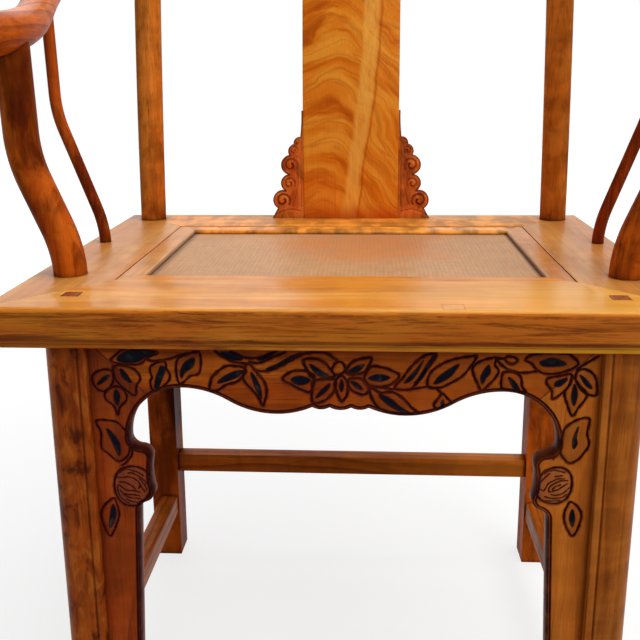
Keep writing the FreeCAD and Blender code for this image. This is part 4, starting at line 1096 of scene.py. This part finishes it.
def carve_scrolls(carving, kinds, side, root, seat):
    """Cuts a spandrel into curling lobes with round edges, and stems that run up beside the splat, and
    paints shade in stain along its free edges.
    """
    edge_round, rim_shade_reach = 0.0026, 0.0032
    reach = carving.reach(kinds["free"], margin=0.006)
    at_least(carving.groove, 0.9 * (1 - soft_step(reach / edge_round)))
    # painted shade: stain that darkens the lobes' rims along the free edges
    at_least(carving.dye, 0.6 * (1 - soft_step(reach / rim_shade_reach)))
    for out, up, radius, dye in SCROLLS:
        centre = np.array([side * (root + out), seat + up])
        lobe = spiral(centre, 1, 0, 2 * math.pi, radius, radius, 33)
        carving.raise_leaf(lobe, lift=2.6, rounding=radius * 0.8)
        curl = spiral(centre, -side, -0.6, 2.2 * math.pi, radius * 0.92, radius * 0.26, 60)
        carving.incise(curl, width=1.25, depth=0.8, dye=dye)
    for stem in STEMS:
        line = flowing([(side * (root + out), seat + up) for out, up in stem], False)
        carving.incise(line, *STEM_LINE)


# Carved faces


def flat_spot(vert):
    """Place of a vertex as seen from the front."""
    return vert.co.x, vert.co.z


def rim_edges(shape):
    """Edges of the opening that a face has left."""
    return [edge for edge in shape.edges if len(edge.link_faces) == 1]


def open_front(shape, sort_edge, step):
    """Takes the front face out, sorts the edges of its rim by kind and cuts them into short steps."""
    bmesh.ops.triangulate(shape, faces=shape.faces)
    fronts = [face for face in shape.faces if face.normal.y < FRONT_FACING]
    bmesh.ops.delete(shape, geom=fronts, context="FACES")
    kinds = {"free": [], "mitre": [], "joint": []}
    rim = rim_edges(shape)
    for edge in rim:
        kinds[sort_edge(middle_of(edge))].append(np.array([flat_spot(vert) for vert in edge.verts]))
    for edge in rim:
        cuts = int(edge.calc_length() / step)
        if cuts:
            bmesh.ops.subdivide_edges(shape, edges=[edge], cuts=cuts)
    return kinds


def face_points(segments, pitch):
    """Points inside a rim, in rows set half a step over, and clear of the rim itself."""
    low, high = segments.min((0, 1)), segments.max((0, 1))
    rows = np.arange(low[1], high[1], pitch * ROW_STEP)
    columns = np.arange(low[0], high[0], pitch)
    grid = np.array([(x + (i % 2) * pitch / 2, z) for i, z in enumerate(rows) for x in columns])
    keep = within(segments, grid)
    for start, end in segments:
        span = np.abs(end - start).max() / 2 + pitch
        near = np.nonzero((np.abs(grid - (start + end) / 2).max(1) < span) & keep)[0]
        keep[near] &= distance_to(np.array([start, end]), grid[near]) > pitch * RIM_GAP
    return grid[keep]


def carved_face(node, name, sizes, sort_edge, carve):
    """Copy of a node whose front face is laid out in fine points, carved, and joined to its own sides."""
    piece = node_copy(node, name)
    shape = bmesh.new()
    shape.from_mesh(piece.data)
    dye, ink, grey_mark = [shape.verts.layers.float.new(layer) for layer in LAYERS]
    pitch = sizes.carving_pitch
    kinds = open_front(shape, sort_edge, RIM_STEP * pitch)
    rim = rim_edges(shape)
    rim_verts = list({vert for edge in rim for vert in edge.verts})
    number = {vert: i for i, vert in enumerate(rim_verts)}
    outline = np.array([flat_spot(vert) for vert in rim_verts])
    borders = [tuple(number[vert] for vert in edge.verts) for edge in rim]
    points = np.vstack([outline, face_points(outline[np.array(borders)], pitch)])
    flat, _, triangles, _, _, _ = delaunay_2d_cdt([Vector(p) for p in points], borders, [], 1, 1e-9)
    flat = np.array([tuple(p) for p in flat])
    carving = Carving(flat, sizes)
    carve(carving, kinds)
    height = carving.height()
    # the depth of the plain face, which can lean
    order = np.argsort(outline[:, 1])
    depths = np.array([vert.co.y for vert in rim_verts])
    base = np.interp(flat[:, 1], outline[order, 1], depths[order])
    # the inner edge behind the free rim, with a light stain and a grey painted highlight
    behind = [vert for vert in shape.verts if vert not in number]
    spots = np.array([flat_spot(vert) for vert in behind])
    for segment in kinds["free"]:
        for i in np.nonzero(distance_to(segment, spots) < ON_LINE)[0]:
            behind[i][dye], behind[i][grey_mark] = EDGE_STAIN, EDGE_HIGHLIGHT
    # the new front, joined to the rim
    sheet = [shape.verts.new((x, y - h, z)) for (x, z), y, h in zip(flat, base, height)]
    for a, b, c in triangles:
        p, q, r = flat[a], flat[b], flat[c]
        turn = (q[0] - p[0]) * (r[1] - p[1]) - (q[1] - p[1]) * (r[0] - p[0])
        shape.faces.new([sheet[i] for i in ((a, b, c) if turn > 0 else (a, c, b))])
    for i, vert in enumerate(rim_verts):
        vert.co.y -= height[i]
    for verts in (sheet, rim_verts):
        for vert, line, fill, grey in zip(verts, carving.dye, carving.ink, carving.grey_mark):
            vert[dye], vert[ink], vert[grey_mark] = line, fill, grey
    bmesh.ops.remove_doubles(shape, verts=rim_verts + sheet, dist=1e-6)
    shape.to_mesh(piece.data)
    shape.free()
    smooth(piece, 40)
    return piece


# Seat

# Small piece let into the front rail: its left, right, front and back
RAIL_REPAIR = (0.0838, 0.1030, -0.2690, -0.2500)


def greyed(tones):
    """Colours with a share of the side rails' grey, which is partly wear and partly painted reflection."""
    return [first.lerp(finish("rail_grey"), 0.36) for first in tones]


def rail_woods():
    """Finishes of the four seat rails."""
    honey = finish_tones("honey")
    grain = {"rings": 55, "figure": 0.14, "cloud": 0.26, "fleck": 0.16, "pore": 0.2}
    low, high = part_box("seat_rail_front")
    edge = (*[finish(f"edge_{part}") for part in ("body", "gold", "red")], low.z, high.z)
    front = Wood("Front rail wood", honey, "X", curl=0.06, **grain)
    # painted light, stronger towards the right of the front rail
    front.painted_light_at_right(-0.02, 0.24, 0.5, tone(255, 192, 82)).sheen(0.24).outer_edge(*edge).repair(*RAIL_REPAIR)
    back = Wood("Back rail wood", honey, "X", (0.2, 0.1, 0), curl=0.3, **grain).sheen(0.12).outer_edge(*edge)
    ends = Wood("Seat end wood", greyed(honey), "Y", (0.3, 0.1, 0), curl=0.06, **grain)
    end_wood = ends.sheen(0.24).outer_edge(*edge).done()
    return {"front": front.done(), "back": back.done(), "left": end_wood, "right": end_wood}


def strip_woods():
    """Finishes of the four strips round the mat."""
    honey = finish_tones("honey")
    grain = {"rings": 80, "figure": 0.16, "cloud": 0.3, "fleck": 0.2, "pore": 0.2}
    front = Wood("Front strip wood", honey, "X", (0.3, 0.2, 0), curl=0.06, **grain).sheen(0.24)
    back = Wood("Back strip wood", honey, "X", (0.1, 0.2, 0), curl=0.5, **grain).sheen(0.3)
    ends = Wood("Strip end wood", greyed(honey), "Y", (0.1, 0.2, 0), curl=0.12, **grain)
    # painted shade on the rounded inner edges of the side strips
    end_wood = ends.sheen(0.3).shade_downturned(0.6).done()
    return {"front": front.done(), "back": back.done(), "left": end_wood, "right": end_wood}


def box_middle(node):
    """Middle of a node's box."""
    low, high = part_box(node)
    return (low + high) / 2


def inner_arris(node, axis):
    """Test for the upper edge of a strip that looks to the mat."""
    centre = box_middle(node)
    out = centre[axis] - box_middle("woven_mat")[axis]

    def choose(edge):
        """Whether an edge is such an edge."""
        spot = middle_of(edge)
        return square(edge) and spot.z > centre.z and (spot[axis] - centre[axis]) * out < 0

    return choose


def cane_weave():
    """Finish of the mat: strands that cross with painted shade in their gaps, a warm worn middle, grey
    patches that partly paint its sheen, and painted shadow along the side strips.
    """
    material, tree, surface, place = shader("Cane weave", 0.2)
    low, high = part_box("woven_mat")
    over = tree.attribute("weave")
    crown = tree.math("ABSOLUTE", over)
    strand = tree.noise(place, 300, 2, stretch=(1, 0.12, 1))
    cross = tree.noise(place, 300, 2, stretch=(0.12, 1, 1))
    which = tree.rise(over, -0.2, 0.2)
    streak = tree.plus(tree.times(strand, which), tree.times(cross, tree.minus(1.0, which)))
    # painted shade in the gaps between the strands
    tint = tree.mix(tree.rise(crown, 0.05, 0.75), finish("cane_shade"), finish("cane"))
    tint = tree.mix(tree.rise(streak, 0.35, 0.7, 0.0, 0.35), tint, tone(170, 112, 68))
    worn_place = ((low.x + high.x) / 2 + 0.02, (low.y + high.y) / 2 + 0.055, high.z)
    wear_and_sheen = tree.noise(place, 16, 4, 0.6)
    away = tree.vector_math("LENGTH", tree.vector_math("SUBTRACT", place, worn_place), output="Value")
    away = tree.plus(away, tree.times(tree.minus(wear_and_sheen, 0.5), 0.12))
    tint = tree.mix(tree.rise(away, 0.13, 0.04, 0.0, 0.55), tint, tone(212, 122, 56))
    # greyer patches: partly the cane's own tone, partly painted sheen
    tint = tree.mix(tree.rise(wear_and_sheen, 0.42, 0.7, 0.0, 0.35), tint, tone(186, 138, 100))
    left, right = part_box("mat_strip_left")[1].x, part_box("mat_strip_right")[0].x
    x = tree.parts(place)["X"]
    # painted shadow along the inner edges of the side strips, where the sunk mat lies in their shade
    grey_mark = tree.most(tree.rise(x, left + 0.008, left + 0.001, 0.0, 0.6),
                     tree.rise(x, right - 0.004, right - 0.001, 0.0, 0.6))
    tint = tree.mix(grey_mark, tint, tone(92, 80, 74))
    surfaced(tree, surface, tint, tree.rise(crown, 0.0, 1.0, 0.7, 0.5), streak, 0.0001, 0.4)
    return material


def woven_sheet(context, low, high):
    """Sheet of strands that go over and under each other, with a rim down to its underside."""
    sizes = context.scene.chair_sizes
    across, along = high.x - low.x, high.y - low.y
    columns, rows = round(across / sizes.cane_pitch), round(along / sizes.cane_course)
    bpy.ops.object.select_all(action="DESELECT")
    bpy.ops.mesh.primitive_grid_add(x_subdivisions=3 * columns, y_subdivisions=2 * rows, size=1)
    mat = context.active_object
    mat.name = mat.data.name = "cane_mat"
    spots = np.empty(len(mat.data.vertices) * 3)
    mat.data.vertices.foreach_get("co", spots)
    u, v = spots.reshape(-1, 3).T[:2] + 0.5
    over = np.sin(u * columns * math.pi) * np.sin(v * rows * math.pi)
    crown = high.z - 2 * sizes.cane_relief + sizes.cane_relief * np.abs(over) * (1 + 0.6 * np.sign(over))
    woven = np.column_stack([low.x + u * across, low.y + v * along, crown])
    mat.data.vertices.foreach_set("co", woven.ravel())
    weave = mat.data.attributes.new("weave", "FLOAT", "POINT")
    weave.data.foreach_set("value", over)
    only(mat)
    bpy.ops.object.mode_set(mode="EDIT")
    bpy.ops.mesh.select_all(action="DESELECT")
    bpy.ops.mesh.select_mode(type="EDGE")
    bpy.ops.mesh.select_non_manifold()
    bpy.ops.mesh.extrude_region_move(TRANSFORM_OT_translate={"value": (0, 0, 0)})
    bpy.ops.transform.resize(value=(1, 1, 0), center_override=(0, 0, low.z))
    bpy.ops.mesh.edge_face_add()
    bpy.ops.object.mode_set(mode="OBJECT")
    smooth(mat, 50)
    return mat


# Operators


class CHAIR_OT_finishes(Operator):
    """Builds the shader groups that the finishes share"""

    bl_idname = "chair.finishes"
    bl_label = "Finishes"

    def execute(self, context):
        for name, build in BUILDERS.items():
            GROUPS[name] = build()
        return {"FINISHED"}


class CHAIR_OT_seat_frame(Operator):
    """Mitred seat rails with eased edges, and the strips round the mat"""

    bl_idname = "chair.seat_frame"
    bl_label = "Seat frame"

    def execute(self, context):
        sizes = context.scene.chair_sizes
        rails, strips = rail_woods(), strip_woods()
        for end in ("front", "back", *SIDES):
            node = f"seat_rail_{end}"
            rail = node_copy(node, f"{node}_eased")
            soften(rail, sizes.arris, square)
            soften(rail, sizes.joint_break, slanting, 2, 0.02, 60)
            settle(rail, node, rails[end])
            node = f"mat_strip_{end}"
            strip = node_copy(node, f"{node}_eased")
            soften(strip, sizes.strip_round, inner_arris(node, 0 if end in SIDES else 1), 5)
            soften(strip, sizes.joint_break * 2, square, 2, 0.05, 50)
            settle(strip, node, strips[end])
        return {"FINISHED"}


class CHAIR_OT_seat_underside(Operator):
    """Board under the mat and the bearers that carry it"""

    bl_idname = "chair.seat_underside"
    bl_label = "Seat board and bearers"

    def execute(self, context):
        arris = context.scene.chair_sizes.arris
        tones = finish_tones("frame")
        board_wood = Wood("Seat board wood", tones, "X", figure=0.5, cloud=0.5).done()
        softened(["seat_board"], board_wood, arris / 2)
        bearer_wood = Wood("Bearer wood", tones, "Y", figure=0.4, cloud=0.6).done()
        softened([f"seat_bearer_{side}" for side in SIDES], bearer_wood, arris)
        return {"FINISHED"}


class CHAIR_OT_woven_mat(Operator):
    """Cane mat woven over and under, sunk in the seat"""

    bl_idname = "chair.woven_mat"
    bl_label = "Woven mat"

    def execute(self, context):
        low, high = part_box("woven_mat")
        mat = woven_sheet(context, low, high)
        settle(mat, "woven_mat", cane_weave())
        return {"FINISHED"}


class CHAIR_OT_legs(Operator):
    """Front legs with their tenon ends through the seat, and the back legs that run up into posts"""

    bl_idname = "chair.legs"
    bl_label = "Legs"

    def execute(self, context):
        arris = context.scene.chair_sizes.arris
        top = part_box("front_leg_left")[1].z
        # painted shade on the front legs below the seat rail
        painted_shade_under_rail = {"start": top - 0.022, "full": top - 0.032, "share": 0.25, "tint": tone(72, 20, 8)}
        grain = {"rings": 90, "figure": 0.3, "cloud": 0.45, "fleck": 0.45, "curl": 0.16}
        left_tones = finish_tones("ruddy", "frame", 0.35)
        left = Wood("Front leg wood left", left_tones, "Z", **grain).blotches(0.78, tone(226, 124, 44))
        right_tones = finish_tones("frame", "honey", 0.4)
        right = Wood("Front leg wood right", right_tones, "Z", (0, 0.3, 0.1), **grain).blotches(0.16)
        for side, leg in zip(SIDES, (left, right)):
            softened([f"front_leg_{side}"], leg.shade(**painted_shade_under_rail).tenon_ends(top).done(), arris)

        bright = finish_tones("frame", "honey", 0.33)
        # painted light: a bright orange on the back legs below the seat, stronger on the right
        for side, glow in zip(SIDES, (tone(206, 84, 22), tone(238, 104, 22))):
            post = Wood(f"Back leg wood {side}", bright, "Z", (0.2, 0, 0), rings=90, figure=0.2, cloud=0.45,
                        fleck=0.4, curl=0.16, gloss=0.012)
            post.blotches(0.3).shade(start=top - 0.03, full=top - 0.06, share=0.7, tint=glow)
            # a painted shadow over the upper inner corner of the left back leg
            if side == "left":
                post.painted_shadow(edge=-0.2615, top=0.2615)
            # painted shade: dark patches on the back legs below the seat
            dress_node(f"back_leg_{side}", post.dusk(start=top + 0.035, full=top).done())
        return {"FINISHED"}


class CHAIR_OT_stretchers(Operator):
    """Stretchers, footrest and the plain aprons of the sides and back"""

    bl_idname = "chair.stretchers"
    bl_label = "Stretchers and plain aprons"

    def execute(self, context):
        arris = context.scene.chair_sizes.arris
        tones = finish_tones("frame", "honey", 0.12)
        grain = {"shift": (0, 0.1, 0.3), "rings": 90, "figure": 0.5, "cloud": 0.55}
        cross_wood = Wood("Cross wood", tones, "X", **grain)
        # painted light, stronger towards the right
        cross_wood.painted_light_at_right(-0.1, 0.25, 0.4, finish("honey_body"))
        softened(("back_stretcher", "footrest", "footrest_apron", "back_apron"), cross_wood.done(), arris)
        fore_wood = Wood("Fore wood", tones, "Y", **grain).done()
        sides = [f"side_{kind}_{side}" for kind in ("stretcher", "apron") for side in SIDES]
        softened(sides, fore_wood, arris)
        return {"FINISHED"}


class CHAIR_OT_front_apron(Operator):
    """Three-piece cusped apron carved with leaves, flowers and fruits"""

    bl_idname = "chair.front_apron"
    bl_label = "Carved front apron"

    def execute(self, context):
        low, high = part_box("front_apron_head")
        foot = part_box("front_apron_side_left")[0].z

        def sort_edge(spot):
            """Kind of the rim's edge at a place."""
            if abs((abs(spot.x) - spot.z) - (high.x - high.z)) < ON_MITRE:
                return "mitre"
            if spot.z > high.z - ON_JOINT or spot.z < foot + ON_JOINT or abs(spot.x) > high.x - ON_JOINT:
                return "joint"
            return "free"

        def carve(carving, kinds):
            """Cuts the vine and the bead."""
            carve_apron(carving, low.y)
            bead(carving, kinds)

        stain = [finish(name) for name in ("stain", "ink", "ink_wear_glint")]
        for part, tones, grain, drop, share in (
                ("head", finish_tones("ruddy", "frame", 0.7), "X", 0.018, 0.68),
                ("side_left", finish_tones("ruddy"), "Z", 0.150, 0.50),
                ("side_right", finish_tones("frame", "honey", 0.2), "Z", 0.016, 0.4)):
            node = f"front_apron_{part}"
            apron = Wood(f"Apron wood {node}", tones, grain, (0.4, 0, 0.1), rings=70, figure=0.28, cloud=0.4)
            # painted light, stronger towards the right
            apron.painted_light_at_right(-0.02, 0.16, 0.3, tone(226, 124, 36))
            # painted shade under the seat rail, darker towards the top; drop is how far down it reaches
            apron.shade(start=high.z - drop, full=high.z, share=share, tint=tone(64, 20, 9))
            piece = carved_face(node, f"{node}_carved", context.scene.chair_sizes, sort_edge, carve)
            settle(piece, node, apron.done(stain=stain))
        return {"FINISHED"}


class CHAIR_OT_back_splat(Operator):
    """Figured splat and the scroll spandrels at its foot"""

    bl_idname = "chair.back_splat"
    bl_label = "Splat and spandrels"

    def execute(self, context):
        sizes = context.scene.chair_sizes
        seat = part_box("splat_spandrel_left")[0].z
        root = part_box("back_splat")[1].x
        material, tree, surface, place = shader("Burl wood")
        tones = dict(zip(("Light", "Body", "Dark"), finish_tones("burl")))
        figure = tree.group("burl", {"Vector": place, "Foot": seat, **tones})
        surfaced(tree, surface, figure["Color"], figure["Roughness"], figure["Height"])
        softened(["back_splat"], material, sizes.arris)

        def sort_edge(spot):
            """Kind of the rim's edge at a place."""
            return "joint" if abs(spot.x) < root + ON_JOINT or spot.z < seat + ON_JOINT else "free"

        tones = finish_tones("scroll")
        stain = [finish(name) for name in ("scroll_stain", "ink", "ink_wear_glint")]
        scroll = Wood("Scroll wood", tones, "Z", (0.1, 0.3, 0), figure=0.25, cloud=0.6).blotches(0.5)
        # the spandrels take less of the painted corner shade
        scroll_wood = scroll.done(corner_shade=0.3, stain=stain)
        for name, side in zip(SIDES, (-1, 1)):
            def carve(carving, kinds, side=side):
                """Cuts the scrolls of one side."""
                carve_scrolls(carving, kinds, side, root, seat)

            node = f"splat_spandrel_{name}"
            settle(carved_face(node, f"{node}_carved", sizes, sort_edge, carve), node, scroll_wood)
        return {"FINISHED"}


class CHAIR_OT_arm_posts(Operator):
    """Gooseneck arm posts and thin side posts"""

    bl_idname = "chair.arm_posts"
    bl_label = "Arm and side posts"

    def execute(self, context):
        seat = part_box("seat_rail_front")[1].z
        arm_tones = finish_tones("frame", "ruddy", 0.2)
        arm_post = Wood("Arm post wood", arm_tones, "Z", (0, 0.2, 0), rings=64, figure=0.38, cloud=0.4,
                        fleck=0.6, gloss=0.02)
        arm_wood = arm_post.blotches(0.4).dusk(start=seat + 0.02, full=seat + 0.09).done()
        side_tones = finish_tones("ruddy")
        side_post = Wood("Side post wood", side_tones, "Z", (0.3, 0.2, 0), rings=110, figure=0.3, cloud=0.8,
                         fleck=0.6, gloss=0.02)
        side_wood = side_post.dusk(start=seat + 0.3, full=seat).done()
        for side in SIDES:
            dress_node(f"arm_post_{side}", arm_wood)
            dress_node(f"side_post_{side}", side_wood)
        return {"FINISHED"}


class CHAIR_OT_horseshoe_rail(Operator):
    """Horseshoe rail of three scarfed lengths, and its pegs"""

    bl_idname = "chair.horseshoe_rail"
    bl_label = "Horseshoe rail"

    def execute(self, context):
        tones = finish_tones("frame")
        rail = Wood("Rail wood", tones, "X", rings=80, figure=0.45, cloud=0.4, fleck=0.3, course=True)
        rail_wood = rail.done()
        for node in ("crest_rail", "arm_rail_left", "arm_rail_right"):
            dress_node(node, rail_wood)
        peg_wood = Wood("Peg wood", tones, "X", (0.2, 0.2, 0.2), figure=0.7, cloud=0.8).done()
        dress_node("scarf_pegs", peg_wood)
        return {"FINISHED"}


# Stage

FLOOR_SIZE = 14
WHITE = (1, 1, 1)

# Lamps: name, place, what it looks at, size and power
LAMPS = [("key", (0.8, -0.2, 2.7), (0, 0, 0.5), 1.8, 35), ("fill", (1.3, -1.8, 1.9), (0, 0, 0.5), 1.6, 20),
         ("back", (-0.6, 1.8, 2.0), (0, 0, 0.6), 1.4, 9)]


def pale_floor():
    """Grey floor that shines where the camera sees it, so that it is near white."""
    material, tree, surface, place = shader("Pale floor", gloss=0.5)
    away = tree.vector_math("LENGTH", place, output="Value")
    tree.put(surface.inputs["Base Color"], (0.30, 0.30, 0.30))
    tree.put(surface.inputs["Roughness"], 0.9)
    tree.put(surface.inputs["Emission Color"], WHITE)
    glow = tree.rise(away, 0.5, 2.6, 0.74, 0.96)
    tree.put(surface.inputs["Emission Strength"], tree.times(tree.seen(), glow))
    return material


def soft_room():
    """White surroundings that give little light."""
    world = bpy.data.worlds.new("Soft room")
    world.use_nodes = True
    tree = Tree(world.node_tree)
    back = next(n for n in world.node_tree.nodes if n.type == "BACKGROUND")
    tree.put(back.inputs["Color"], WHITE)
    tree.put(back.inputs["Strength"], tree.plus(tree.times(tree.seen(), 0.75), 0.25))
    return world


class CHAIR_OT_stage(Operator):
    """Pale floor, soft light and the camera"""

    bl_idname = "chair.stage"
    bl_label = "Stage"

    def execute(self, context):
        bpy.ops.object.select_all(action="DESELECT")
        bpy.ops.mesh.primitive_plane_add(size=FLOOR_SIZE, location=(0, 0, 0))
        floor = context.active_object
        floor.name = "floor"
        dress(floor.data, pale_floor())
        context.scene.world = soft_room()

        for name, place, aim, size, power in LAMPS:
            lamp = bpy.data.lights.new(name, "AREA")
            lamp.size = size
            lamp.energy = power
            holder = bpy.data.objects.new(name, lamp)
            holder.location = place
            holder.rotation_euler = (Vector(aim) - Vector(place)).to_track_quat("-Z", "Y").to_euler()
            context.scene.collection.objects.link(holder)

        lens = bpy.data.cameras.new("view")
        lens.sensor_width = SENSOR_WIDTH
        lens.lens = VIEW_FOCAL / VIEW_WIDTH * SENSOR_WIDTH
        lens.clip_start = 0.05
        camera = bpy.data.objects.new("view", lens)
        camera.matrix_world = Matrix.Translation(VIEW_PLACE) @ VIEW_TURN
        context.scene.collection.objects.link(camera)
        context.scene.camera = camera
        context.scene.view_settings.view_transform = "Standard"
        return {"FINISHED"}


PIECES = (CHAIR_OT_finishes, CHAIR_OT_seat_frame, CHAIR_OT_seat_underside, CHAIR_OT_woven_mat, CHAIR_OT_legs,
          CHAIR_OT_stretchers, CHAIR_OT_front_apron, CHAIR_OT_back_splat, CHAIR_OT_arm_posts,
          CHAIR_OT_horseshoe_rail, CHAIR_OT_stage)


class CHAIR_PT_panel(Panel):
    """Pieces, sizes and finishes of the chair"""

    bl_idname = "CHAIR_PT_panel"
    bl_label = "Carved chair"
    bl_space_type = "VIEW_3D"
    bl_region_type = "UI"
    bl_category = "Chair"

    def draw(self, context):
        for group in (context.scene.chair_sizes, context.scene.chair_finishes):
            for key in group.__annotations__:
                self.layout.prop(group, key)
        for piece in PIECES:
            self.layout.operator(piece.bl_idname)


CLASSES = (ChairSizes, ChairFinishes, *PIECES, CHAIR_PT_panel)


def register():
    """Makes the chair's classes and settings known to Blender."""
    for kind in CLASSES:
        bpy.utils.register_class(kind)
    bpy.types.Scene.chair_sizes = PointerProperty(type=ChairSizes)
    bpy.types.Scene.chair_finishes = PointerProperty(type=ChairFinishes)


def unregister():
    """Takes the chair's classes and settings out again."""
    del bpy.types.Scene.chair_finishes
    del bpy.types.Scene.chair_sizes
    for kind in reversed(CLASSES):
        bpy.utils.unregister_class(kind)


def main():
    """Builds the chair and its stage."""
    register()
    bpy.ops.chair.finishes()
    bpy.ops.chair.seat_frame()
    bpy.ops.chair.seat_underside()
    bpy.ops.chair.woven_mat()
    bpy.ops.chair.legs()
    bpy.ops.chair.stretchers()
    bpy.ops.chair.front_apron()
    bpy.ops.chair.back_splat()
    bpy.ops.chair.arm_posts()
    bpy.ops.chair.horseshoe_rail()
    bpy.ops.chair.stage()


if __name__ == "__main__":
    main()
